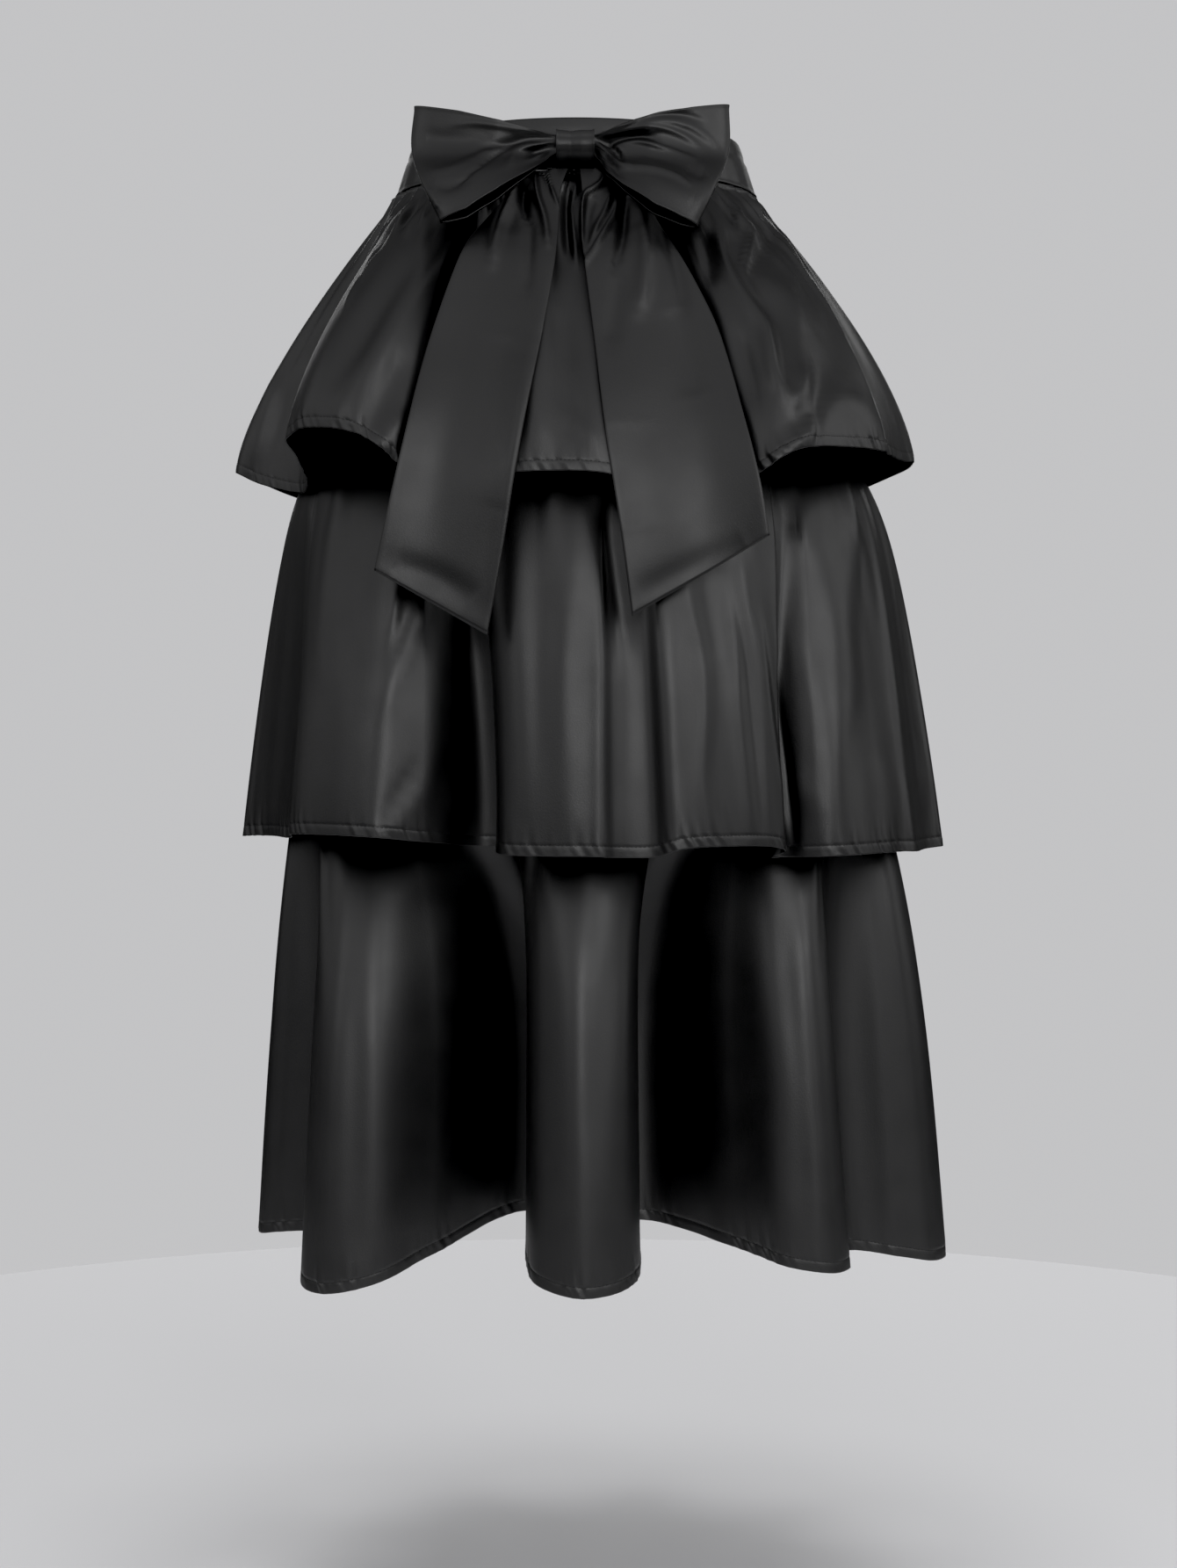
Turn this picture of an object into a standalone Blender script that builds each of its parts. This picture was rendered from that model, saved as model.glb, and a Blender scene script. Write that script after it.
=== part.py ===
"""Three-tier gathered satin skirt with a bow at the waist, in its worn form.

Metres, +Z up. The front faces -Y. The origin is the middle of the waist, halfway up the
waistband. Angles are measured from the front round towards +X. The cloth's outer face is
worked out from the sizes below, and every wall is given its thickness inwards.
"""

import math
from collections import namedtuple

import bmesh
import bpy
import numpy as np

MM = 0.001

# Cloth and seams
TIER_WALL = 1.3 * MM
UNDERSKIRT_WALL = 1.0 * MM
BAND_WALL = 3.0 * MM
BOW_WALL = 1.6 * MM
TAIL_WALL = 1.8 * MM
SEAM_GAP = 0.3 * MM

# Waistband
BAND_HEIGHT = 0.038
BAND_TOP_HALF = (0.1190, 0.0920)
BAND_FOOT_HALF = (0.1310, 0.0990)
BAND_FRONT_COLUMNS = 28
BAND_FRONT_RINGS = (0.0, 0.5, 1.0)
BAND_BACK_RUCHES = 22
BAND_BACK_RINGS = (0.0, 0.25, 0.75, 1.0)
RUCHE_DEPTH = 0.0030
RUCHE_AT_EDGE = 0.45

# Heights of the two hidden seams
TIER2_SEAM_Z = -0.190
TIER3_SEAM_Z = -0.440

SIDE_SEAM = math.radians(90)
HALVES = (("front", -SIDE_SEAM, SIDE_SEAM), ("back", SIDE_SEAM, 2 * math.pi - SIDE_SEAM))
SEAM_EDGE = 1.5 * MM
GATHER_ROOM = 4.5 * MM
COLUMNS_PER_GATHER = 3
SHOULDER_SPREAD, SHOULDER_SINK = 0.78, 0.15
FLANK_SINK = 0.5
CURVE_STEPS = 24

# The waistband flares, so its inner edge hangs lower than its outer one
BAND_FLARE = (BAND_FOOT_HALF[0] - BAND_TOP_HALF[0]) / BAND_HEIGHT
TIER1_SEAM_Z = -BAND_HEIGHT / 2 - SEAM_GAP - 1.5 * TIER_WALL * BAND_FLARE
UNDERSKIRT_TOP_Z = -BAND_HEIGHT / 2 - SEAM_GAP - BAND_WALL * BAND_FLARE
UNDERSKIRT_TOP_HALF = [half - TIER_WALL - SEAM_GAP for half in BAND_FOOT_HALF]
UNDERSKIRT_TOP_EDGE = 0.004
UNDERSKIRT_COLUMNS = 26

# Half-width, half-depth and middle of the underskirt, down its length
Section = namedtuple("Section", "z half_width half_depth middle_x")
UNDERSKIRT = (
    Section(UNDERSKIRT_TOP_Z, *UNDERSKIRT_TOP_HALF, 0.0),
    Section(UNDERSKIRT_TOP_Z - UNDERSKIRT_TOP_EDGE, *UNDERSKIRT_TOP_HALF, 0.0),
    Section(-0.100, 0.162, 0.115, 0.002),
    Section(TIER2_SEAM_Z, 0.181, 0.122, 0.004),
    Section(TIER3_SEAM_Z, 0.210, 0.136, 0.010),
)

# One row for each fold that stands out at a hem, from the left side round the front:
#   seam        where the crest hangs from, in degrees round the seam
#   span        how much of the seam the fold's face hangs from, flank to flank, in degrees
#   turn        where the crest is at the hem, in degrees
#   reach       how far out the crest is from the middle, in mm
#   left, right from the crest to each flank, along the hem, in mm
#   hem         height of the hem at the crest, in mm
#   valley      how far out the next valley is, in mm
#   valley_hem  height of the hem in that valley, in mm
#   floor       how much of the gap between the two flanks the valley's floor takes up
#   lean        how far the floor lies towards the next fold, as a share of that gap
Fold = namedtuple("Fold", "seam span turn reach left right hem valley valley_hem floor lean")

TIER1_FOLDS = (
    Fold(-95, 30, -97, 250, 42, 46, -214, 204, -236, 0.3, 0.0),
    Fold(-52, 32, -47, 246, 34, 66, -206, 184, -262, 0.7, 0.0),
    Fold(-4, 44, -4, 207, 52, 52, -238, 196, -260, 0.5, 0.0),
    Fold(44, 36, 49, 249, 74, 40, -218, 240, -216, 0.5, 0.0),
    Fold(84, 24, 83, 243, 24, 28, -213, 213, -225, 0.6, 0.0),
    Fold(128, 24, 127, 240, 40, 38, -224, 192, -236, 0.8, 0.0),
    Fold(163, 24, 160, 224, 42, 36, -232, 184, -240, 0.8, 0.0),
    Fold(196, 24, 194, 218, 36, 44, -236, 186, -238, 0.8, 0.0),
    Fold(230, 26, 229, 242, 40, 40, -226, 210, -232, 0.5, 0.0),
)

TIER2_FOLDS = (
    Fold(-92, 30, -92, 241, 34, 40, -480, 222, -478, 0.3, 0.0),
    Fold(-50, 36, -44, 246, 38, 58, -473, 163, -482, 0.6, 0.32),
    Fold(-9, 26, -6, 210, 32, 40, -486, 203, -487, 0.6, 0.0),
    Fold(24, 28, 27, 222, 40, 46, -480, 204, -489, 0.5, -0.3),
    Fold(58, 24, 58, 247, 56, 40, -487, 252, -488, 0.5, 0.0),
    Fold(87, 20, 89, 266, 22, 38, -487, 232, -486, 0.5, 0.0),
    Fold(120, 20, 120, 250, 36, 38, -484, 200, -482, 0.7, 0.0),
    Fold(150, 20, 150, 226, 36, 34, -482, 174, -482, 0.9, 0.0),
    Fold(180, 20, 181, 216, 34, 38, -484, 180, -483, 0.9, 0.0),
    Fold(211, 20, 213, 228, 36, 34, -481, 194, -480, 0.8, 0.0),
    Fold(240, 22, 243, 246, 34, 34, -478, 222, -479, 0.4, 0.0),
)

TIER3_FOLDS = (
    Fold(-88, 20, -88, 230, 34, 40, -763, 197, -756, 0.5, 0.0),
    Fold(-52, 26, -44, 240, 38, 32, -775, 104, -736, 0.7, 0.35),
    Fold(0, 27, 1.6, 214, 37, 39, -769, 112, -741, 0.7, -0.35),
    Fold(40, 21, 46, 238, 24, 30, -763, 206, -767, 0.6, 0.0),
    Fold(78, 22, 80, 266, 30, 36, -777, 214, -768, 0.6, 0.0),
    Fold(114, 22, 113, 252, 32, 38, -772, 160, -752, 0.8, 0.0),
    Fold(149, 22, 148, 228, 40, 30, -770, 124, -744, 0.9, 0.0),
    Fold(184, 24, 182, 210, 30, 44, -772, 108, -741, 1.0, 0.0),
    Fold(225, 24, 226, 240, 44, 32, -768, 192, -756, 0.7, 0.0),
)

# How far the underskirt spreads below the second tier's seam within that seam's own edge
YOKE_FLARE = 0.5 * MM

# A gathered tier: its seam's half-sizes and middle, its hem's mean half-sizes and middle, how
# fast it spreads and its folds form, how much of its spread is a puff just below the seam at
# the sides and at the front and back, its gathers, and where its rings lie down its length
Tier = namedtuple("Tier", "name seam_z seam_half seam_x hem_half hem_x spread forming puff "
                          "front_gathers back_gathers gather_depth rings folds")
PUFF_SPEED = 8

# Size of a tier's gathers at its seam, as a share of their full depth, and how fast they grow
GATHER_AT_SEAM = 0.35
GATHER_GROWTH = 8
SMALLEST_GATHER = 0.55


def outside(section, distance):
    """Half-sizes of an ellipse that lies a distance outside a section of the underskirt."""
    return section.half_width + distance, section.half_depth + distance


TIERS = (
    Tier("tier1", TIER1_SEAM_Z, BAND_FOOT_HALF, 0.0, (0.232, 0.198), -0.003,
         1.42, 1.7, (0.0, 0.0), 26, 24, 0.0055, (0.0, 0.015, 0.08, 0.2, 0.42, 0.7, 1.0), TIER1_FOLDS),
    Tier("tier2", TIER2_SEAM_Z, outside(UNDERSKIRT[3], TIER_WALL + SEAM_GAP + YOKE_FLARE), 0.004,
         (0.240, 0.190), 0.010, 1.0, 1.6, (0.45, 0.85), 21, 20, 0.0055,
         (0.0, 0.012, 0.09, 0.28, 0.62, 1.0), TIER2_FOLDS),
    Tier("tier3", TIER3_SEAM_Z - SEAM_GAP, outside(UNDERSKIRT[4], 0.0), 0.010,
         (0.232, 0.165), 0.014, 1.0, 2.6, (0.0, 0.0), 21, 20, 0.0045,
         (0.0, 0.012, 0.08, 0.22, 0.5, 1.0), TIER3_FOLDS),
)

# Bow. A side of -1 is the left of the picture, +1 the right.
KNOT_SIZE = (0.026, 0.021, 0.025)
KNOT_WALL = 2.4 * MM
KNOT_Z = -0.0072
KNOT_POINTS = 24
KNOT_BLUNTNESS = 0.62
KNOT_PINCH = 0.06
KNOT_RINGS = (-1.0, -0.55, 0.0, 0.55, 1.0)
WING_STEPS, WING_COLUMNS = 20, 10
WING_NECK_HALF_DEPTH = 0.0034
WING_BELLY = 0.0125
WING_IN_KNOT = 0.1
WING_FREE_SPAN = 0.35
WING_EASE = 4
WING_BLUNTNESS = 0.78
WING_BACK_DROP = 0.0045
WING_FORWARD = 0.042
WING_REST_Z = -0.016
WING_REST_DEPTH = 0.020
WING_GATHERS = 3.5
WING_GATHER_DEPTH = 0.0042
TAIL_ROWS, TAIL_COLUMNS = 14, 8
TAIL_BRIDGE = 0.016
TAIL_RELAXING = 30
TAIL_CLEARANCE = 1.4 * MM

# Outline of a wing from its neck to its folded end: distance from the knot's middle, and the
# height of the top and bottom edges there
Outline = namedtuple("Outline", "reach top bottom")
WING_OUTLINE = {
    -1: (Outline(0.0045, 0.0018, -0.0100), Outline(0.015, 0.0010, -0.0105),
         Outline(0.023, 0.0034, -0.0200), Outline(0.034, 0.0060, -0.0295),
         Outline(0.056, 0.0108, -0.0450), Outline(0.080, 0.0166, -0.0580),
         Outline(0.1120, 0.0218, -0.0655)),
    +1: (Outline(0.0045, 0.0018, -0.0105), Outline(0.015, 0.0010, -0.0128),
         Outline(0.023, 0.0045, -0.0300), Outline(0.034, 0.0085, -0.0405),
         Outline(0.056, 0.0150, -0.0550), Outline(0.080, 0.0192, -0.0630),
         Outline(0.1055, 0.0228, -0.0690)),
}
# How far the folded end stops short of its reach, at the top, a third down, two thirds, bottom
WING_END_CUT = {-1: (0.0021, 0.0, 0.0085, 0.0222), +1: (0.0004, 0.0004, 0.0104, 0.0242)}

# Edges of a tail down its length: height and x of its inner and outer edges
TailEdge = namedtuple("TailEdge", "inner_x inner_z outer_x outer_z")
TAIL_EDGES = {
    -1: (TailEdge(-0.0035, -0.0202, -0.0120, -0.0202), TailEdge(-0.0100, -0.0400, -0.0420, -0.0420),
         TailEdge(-0.0108, -0.0640, -0.0640, -0.0660), TailEdge(-0.0130, -0.0950, -0.0770, -0.0900),
         TailEdge(-0.0220, -0.1500, -0.0960, -0.1500), TailEdge(-0.0330, -0.2120, -0.1070, -0.2000),
         TailEdge(-0.0440, -0.2780, -0.1200, -0.2600), TailEdge(-0.0560, -0.3440, -0.1290, -0.3020)),
    +1: (TailEdge(0.0025, -0.0202, 0.0110, -0.0202), TailEdge(0.0045, -0.0400, 0.0400, -0.0420),
         TailEdge(0.0050, -0.0640, 0.0580, -0.0640), TailEdge(0.0060, -0.0900, 0.0700, -0.0880),
         TailEdge(0.0130, -0.1500, 0.0930, -0.1380), TailEdge(0.0200, -0.2120, 0.1080, -0.1950),
         TailEdge(0.0290, -0.2720, 0.1190, -0.2440), TailEdge(0.0370, -0.3320, 0.1250, -0.2800)),
}


def direction(turn):
    """Unit vector out from the middle at an angle round the skirt."""
    return np.array((math.sin(turn), -math.cos(turn)))


def along(turn):
    """Unit vector round the skirt, towards larger angles."""
    return np.array((math.cos(turn), math.sin(turn)))


def ellipse(turns, half, middle_x):
    """Points of an ellipse, one for each angle."""
    return np.stack((middle_x + half[0] * np.sin(turns), -half[1] * np.cos(turns)), axis=-1)


def flank_points(fold, valley, valley_hem, side):
    """Flank and shoulder of a fold on one side, side -1 or +1, as x, y, z."""
    turn = math.radians(fold.turn)
    width = fold.left if side < 0 else fold.right
    depth = fold.reach - valley
    points = []
    for spread, sink in ((1.0, FLANK_SINK), (SHOULDER_SPREAD, SHOULDER_SINK)):
        place = direction(turn) * (fold.reach - sink * depth) + along(turn) * side * spread * width
        height = fold.hem + sink * (valley_hem - fold.hem)
        points.append((place[0], place[1], height))
    return points if side < 0 else points[::-1]


def hem_corners(folds):
    """The hem's corner points in order, and the numbers of those the seam's angles are given for.

    Those are each fold's left flank, its crest and its right flank.
    """
    corners, known = [], []
    for number, fold in enumerate(folds):
        before = folds[number - 1]
        known += [len(corners), len(corners) + 2, len(corners) + 4]
        corners += flank_points(fold, before.valley, before.valley_hem, -1)
        corners.append((*(direction(math.radians(fold.turn)) * fold.reach), fold.hem))
        corners += flank_points(fold, fold.valley, fold.valley_hem, +1)
        after = folds[(number + 1) % len(folds)]
        leave = np.array(corners[-1][:2])
        arrive = np.array(flank_points(after, fold.valley, fold.valley_hem, -1)[0][:2])
        for share in (0.5 + fold.lean - fold.floor / 2, 0.5 + fold.lean + fold.floor / 2):
            place = leave + share * (arrive - leave)
            corners.append((*(place / np.linalg.norm(place) * fold.valley), fold.valley_hem))
    return np.array(corners) * MM, known


def smooth_loop(corners):
    """A closed curve through all corners, with CURVE_STEPS points from each to the next."""
    count = len(corners)
    curve = []
    for number in range(count):
        p0, p1, p2, p3 = (corners[(number + k) % count] for k in (-1, 0, 1, 2))
        t1 = np.linalg.norm(p1 - p0) ** 0.5
        t2 = np.linalg.norm(p2 - p1) ** 0.5
        t3 = np.linalg.norm(p3 - p2) ** 0.5
        leave = t2 * ((p1 - p0) / t1 - (p2 - p0) / (t1 + t2) + (p2 - p1) / t2)
        arrive = t2 * ((p2 - p1) / t2 - (p3 - p1) / (t2 + t3) + (p3 - p2) / t3)
        for step in range(CURVE_STEPS):
            t = step / CURVE_STEPS
            curve.append((2 * t**3 - 3 * t**2 + 1) * p1 + (t**3 - 2 * t**2 + t) * leave
                         + (3 * t**2 - 2 * t**3) * p2 + (t**3 - t**2) * arrive)
    return np.array(curve)


class Hem:
    """A tier's hem curve, and the angle on the seam above each place on it."""

    def __init__(self, folds):
        corners, known = hem_corners(folds)
        loop = smooth_loop(corners)
        steps = np.linalg.norm(np.roll(loop, -1, axis=0) - loop, axis=1)
        self.length = steps.sum()
        start = np.concatenate(([0.0], np.cumsum(steps)))
        self.places = np.concatenate((start[:-1] - self.length, start[:-1], start + self.length))
        self.points = np.concatenate((loop, loop, loop, loop[:1]))
        known_places = start[np.array(known) * CURVE_STEPS]
        known_turns = np.radians([fold.seam + side * fold.span / 2
                                  for fold in folds for side in (-1, 0, 1)])
        rounds = (-1, 0, 1)
        self.known_places = np.concatenate([known_places + k * self.length for k in rounds])
        self.known_turns = np.concatenate([known_turns + k * 2 * math.pi for k in rounds])

    def point(self, places):
        return np.stack([np.interp(places, self.places, self.points[:, k]) for k in range(3)], -1)

    def seam_turn(self, places):
        return np.interp(places, self.known_places, self.known_turns)

    def place_below(self, seam_turn):
        return np.interp(seam_turn, self.known_turns, self.known_places)


def tier_rows(tier, start_turn, end_turn, gathers, seed):
    """Rows of points of a tier's outer face, from its seam down to its hem."""
    hem = Hem(tier.folds)
    start, end = hem.place_below(np.array((start_turn, end_turn)))
    first, last = start + SEAM_GAP / 2, end - SEAM_GAP / 2
    gathered_places = np.linspace(first + SEAM_EDGE, last - SEAM_EDGE,
                                  gathers * COLUMNS_PER_GATHER + 1)
    places = np.concatenate(([first], gathered_places, [last]))
    turns = hem.seam_turn(places)
    hem_points = hem.point(places)
    seam = ellipse(turns, tier.seam_half, tier.seam_x)
    mean_hem = ellipse(turns, tier.hem_half, tier.hem_x)
    outward = ellipse(turns, (1.0, 1.0), 0.0)
    sizes = np.random.default_rng(seed).uniform(SMALLEST_GATHER, 1.0, gathers + 1)
    column = np.arange(len(gathered_places))
    wave = np.where(column % COLUMNS_PER_GATHER == 0, 0.0, sizes[column // COLUMNS_PER_GATHER])
    wave = np.pad(wave, 1)
    room = np.linalg.norm(np.gradient(seam, axis=0), axis=1) / GATHER_ROOM
    wave *= np.minimum(1.0, room)
    rows = []
    for share in tier.rings:
        below_seam = max(0.0, share - tier.rings[1]) / (1 - tier.rings[1])
        puff = 1 - (1 - below_seam) ** PUFF_SPEED
        widened = 1 - (1 - below_seam) ** tier.spread
        spread = np.array([share * puff + (1 - share) * widened for share in tier.puff])
        formed = 1 - (1 - below_seam) ** tier.forming
        grown = min(1.0, GATHER_AT_SEAM + GATHER_GROWTH * share)
        gathered = tier.gather_depth * (1 - share) ** 2 * grown
        plan = (seam + spread * (mean_hem - seam) + formed * (hem_points[:, :2] - mean_hem)
                + (gathered * wave)[:, None] * outward)
        height = tier.seam_z + share * (hem_points[:, 2] - tier.seam_z)
        rows.append(np.column_stack((plan, height)))
    return rows


def satin(name, grey, roughness):
    """Black satin with a soft sheen."""
    material = bpy.data.materials.new(name)
    material.use_nodes = True
    shader = material.node_tree.nodes["Principled BSDF"]
    shader.inputs["Base Color"].default_value = (grey, grey, grey, 1.0)
    shader.inputs["Roughness"].default_value = roughness
    shader.inputs["Metallic"].default_value = 0.0
    return material


def cloth(name, rows, wall, collection, material, closed=False):
    """A wall of cloth: a sheet through rows of points, thickened behind its outer face."""
    mesh = bpy.data.meshes.new(name)
    sheet = bmesh.new()
    grid = [[sheet.verts.new(point) for point in row] for row in rows]
    columns = len(grid[0])
    for upper, lower in zip(grid, grid[1:]):
        for number in range(columns if closed else columns - 1):
            after = (number + 1) % columns
            sheet.faces.new((upper[number], lower[number], lower[after], upper[after]))
    sheet.to_mesh(mesh)
    sheet.free()
    mesh.shade_smooth()
    piece = bpy.data.objects.new(name, mesh)
    collection.objects.link(piece)
    mesh.materials.append(material)
    thickness = piece.modifiers.new("Cloth thickness", "SOLIDIFY")
    thickness.thickness = wall
    thickness.offset = -1.0
    return piece


def band_half(share):
    """Half-sizes of the waistband's outer face, a share of the way down it."""
    return [top + share * (foot - top) for top, foot in zip(BAND_TOP_HALF, BAND_FOOT_HALF)]


def half_turns(start_turn, end_turn, columns):
    """Evenly spaced angles from one side seam to the other."""
    gap = SEAM_GAP / 2 / BAND_FOOT_HALF[1]
    return np.linspace(start_turn + gap, end_turn - gap, columns + 1)


def band_rows(turns, rings, ruche_depth):
    """Rows of the waistband from its top edge down, ruched where it runs over elastic."""
    wave = (np.arange(len(turns)) % COLUMNS_PER_GATHER > 0) * ruche_depth
    rows = []
    for share in rings:
        bulge = RUCHE_AT_EDGE + (1 - RUCHE_AT_EDGE) * math.sin(math.pi * share)
        plan = ellipse(turns, band_half(share), 0.0)
        plan += bulge * wave[:, None] * ellipse(turns, (1.0, 1.0), 0.0)
        rows.append(np.column_stack((plan, np.full(len(turns), BAND_HEIGHT * (0.5 - share)))))
    return rows


def underskirt_rows(turns):
    """Rows of the plain yoke that carries the second and third tiers."""
    rows = []
    for section in UNDERSKIRT:
        plan = ellipse(turns, (section.half_width, section.half_depth), section.middle_x)
        rows.append(np.column_stack((plan, np.full(len(turns), section.z))))
    return rows


def smooth_through(shares, values):
    """A smooth curve through evenly spaced values, read at each share of the way."""
    values = np.asarray(values, dtype=float)
    place = np.clip(np.asarray(shares, dtype=float), 0, 1) * (len(values) - 1)
    span = np.minimum(place.astype(int), len(values) - 2)
    t = place - span
    slopes = np.gradient(values)
    return ((2 * t**3 - 3 * t**2 + 1) * values[span] + (t**3 - 2 * t**2 + t) * slopes[span]
            + (3 * t**2 - 2 * t**3) * values[span + 1] + (t**3 - t**2) * slopes[span + 1])


def knot_loop():
    """Outline of the strip round the bow's middle, seen from the side, as y and z."""
    turns = np.linspace(0, 2 * math.pi, KNOT_POINTS, endpoint=False)
    y = -np.sign(np.cos(turns)) * np.abs(np.cos(turns)) ** KNOT_BLUNTNESS * KNOT_SIZE[1] / 2
    z = np.sign(np.sin(turns)) * np.abs(np.sin(turns)) ** KNOT_BLUNTNESS * KNOT_SIZE[2] / 2
    return y, z


def knot_seat():
    """Depth of the knot's middle when its back lies against the waistband."""
    y, z = knot_loop()
    band_depths = [band_half(0.5 - height / BAND_HEIGHT)[1] for height in KNOT_Z + z]
    return -max(y + band_depths) - SEAM_GAP


KNOT_Y = knot_seat()


def knot_rows():
    """Rows of the strip round the bow's middle, from its left edge to its right."""
    loop_y, loop_z = knot_loop()
    rows = []
    for share in KNOT_RINGS:
        pinch = 1 - KNOT_PINCH * (1 - share**2)
        x = np.full(KNOT_POINTS, share * KNOT_SIZE[0] / 2)
        rows.append(np.column_stack((x, KNOT_Y + pinch * loop_y, KNOT_Z + pinch * loop_z)))
    return rows


def wing_rows(side):
    """Rows of a bow wing, one round the open loop for each step across its height."""
    outline = WING_OUTLINE[side]
    reaches = [place.reach for place in outline]
    length = reaches[-1] - reaches[0]
    entry = math.asin(WING_IN_KNOT ** (1 / WING_BLUNTNESS))
    bend = np.linspace(entry, math.pi - entry, WING_STEPS - 1)
    around = np.concatenate(([0.0], bend, [math.pi]))
    out = np.abs(np.sin(around)) ** WING_BLUNTNESS
    layer = np.sign(np.cos(around)) * np.abs(np.cos(around)) ** WING_BLUNTNESS
    layer[WING_STEPS // 2] = 0.0
    reach = reaches[0] + out * length
    top = np.interp(reach, reaches, [place.top for place in outline])
    bottom = np.interp(reach, reaches, [place.bottom for place in outline])
    free = np.clip((out - WING_IN_KNOT) / WING_FREE_SPAN, 0, 1)
    eased = np.minimum(1, WING_EASE * free)
    half_depth = WING_NECK_HALF_DEPTH + (WING_BELLY - WING_NECK_HALF_DEPTH) * free
    rows = []
    for down in np.linspace(0.0, 1.0, WING_COLUMNS + 1):
        x = reach - out**3 * smooth_through(down, WING_END_CUT[side])
        bottom_here = bottom - WING_BACK_DROP * (layer < 0) * free * (1 - out**6)
        z = top + down * (bottom_here - top)
        below = np.maximum(0, WING_REST_Z - z)
        forward = WING_FORWARD * (1 - np.exp(-below / WING_REST_DEPTH)) * eased
        wave = math.cos(2 * math.pi * WING_GATHERS * down)
        gather = WING_GATHER_DEPTH * wave * (1 - out) ** 1.5 * eased
        y = KNOT_Y - layer * half_depth - forward - np.abs(layer) * gather
        rows.append(np.column_stack((side * x, y, z)))
    return rows if side > 0 else [row[::-1] for row in rows]


def front_of(panel, x, z):
    """Depth of the foremost fold of a panel near a place, from the panel's own points."""
    columns = np.array(panel).transpose(1, 0, 2)
    found = []
    for column in columns:
        heights = column[::-1, 2]
        if abs(np.interp(z, heights, column[::-1, 0]) - x) < TAIL_BRIDGE:
            found.append(np.interp(z, heights, column[::-1, 1]))
    return min(found)


def drape(clear, rounds):
    """Ease a grid of depths into a smooth sheet that stays in front of them all.

    The first row stays where it leaves the knot.
    """
    depths = clear.copy()
    depths[0] = KNOT_Y
    for _ in range(rounds):
        padded = np.pad(depths, 1, mode="edge")
        mean = (padded[:-2, 1:-1] + padded[2:, 1:-1] + padded[1:-1, :-2] + padded[1:-1, 2:]) / 4
        depths[1:] = np.minimum(mean, clear)[1:]
    return depths


def tail_rows(side, panel):
    """Rows of a tail from the knot down, lying on a panel and hanging past its hem."""
    shares = np.linspace(0, 1, TAIL_ROWS + 1)
    edges = TAIL_EDGES[side]
    inner_x = smooth_through(shares, [edge.inner_x for edge in edges])
    inner_z = smooth_through(shares, [edge.inner_z for edge in edges])
    outer_x = smooth_through(shares, [edge.outer_x for edge in edges])
    outer_z = smooth_through(shares, [edge.outer_z for edge in edges])
    across = np.linspace(0, 1, TAIL_COLUMNS + 1)
    x = inner_x[:, None] + across * (outer_x - inner_x)[:, None]
    z = inner_z[:, None] + across * (outer_z - inner_z)[:, None]
    clear = np.vectorize(lambda px, pz: front_of(panel, px, pz))(x, z) - TAIL_WALL - TAIL_CLEARANCE
    depths = drape(clear, TAIL_RELAXING)
    rows = [np.column_stack(row) for row in zip(x, depths, z)]
    return rows if side > 0 else [row[::-1] for row in rows]


def add_bands_and_underskirt(collection, outer_cloth, lining_cloth):
    front = half_turns(-SIDE_SEAM, SIDE_SEAM, BAND_FRONT_COLUMNS)
    back = half_turns(SIDE_SEAM, 2 * math.pi - SIDE_SEAM, BAND_BACK_RUCHES * COLUMNS_PER_GATHER)
    cloth("waistband_front", band_rows(front, BAND_FRONT_RINGS, 0.0), BAND_WALL, collection,
          outer_cloth)
    cloth("waistband_back", band_rows(back, BAND_BACK_RINGS, RUCHE_DEPTH), BAND_WALL, collection,
          outer_cloth)
    for half, start, end in HALVES:
        rows = underskirt_rows(half_turns(start, end, UNDERSKIRT_COLUMNS))
        cloth(f"underskirt_{half}", rows, UNDERSKIRT_WALL, collection, lining_cloth)


def add_tiers(collection, outer_cloth):
    """Add the tiers' halves, and return their rows by name."""
    added = {}
    for number, tier in enumerate(TIERS):
        for half, start, end in HALVES:
            gathers = tier.front_gathers if half == "front" else tier.back_gathers
            name = f"{tier.name}_{half}"
            added[name] = tier_rows(tier, start, end, gathers, 10 * number + len(half))
            cloth(name, added[name], TIER_WALL, collection, outer_cloth)
    return added


def add_bow(collection, outer_cloth, panel):
    cloth("bow_knot", knot_rows(), KNOT_WALL, collection, outer_cloth, closed=True)
    for side, word in ((-1, "left"), (1, "right")):
        cloth(f"bow_wing_{word}", wing_rows(side), BOW_WALL, collection, outer_cloth)
        cloth(f"bow_tail_{word}", tail_rows(side, panel), TAIL_WALL, collection, outer_cloth)


def main():
    for leftover in list(bpy.data.objects):
        bpy.data.objects.remove(leftover, do_unlink=True)
    collection = bpy.data.collections.new("Tiered skirt")
    bpy.context.scene.collection.children.link(collection)
    outer_cloth = satin("Black satin", 0.012, 0.38)
    lining_cloth = satin("Black underskirt", 0.010, 0.55)
    add_bands_and_underskirt(collection, outer_cloth, lining_cloth)
    tiers = add_tiers(collection, outer_cloth)
    add_bow(collection, outer_cloth, tiers["tier1_front"])


main()
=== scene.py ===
"""Looks of the three-tier gathered satin skirt with a bow at the waist.

Metres, +Z up. The front faces -Y and the origin is the middle of the waist. Every cloth is a
thin shell worked out from the same sizes as its solid, at a finer pitch, with the fine gathers,
creases, hems and stitches that the solid leaves out.
"""

import math
from collections import namedtuple

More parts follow.
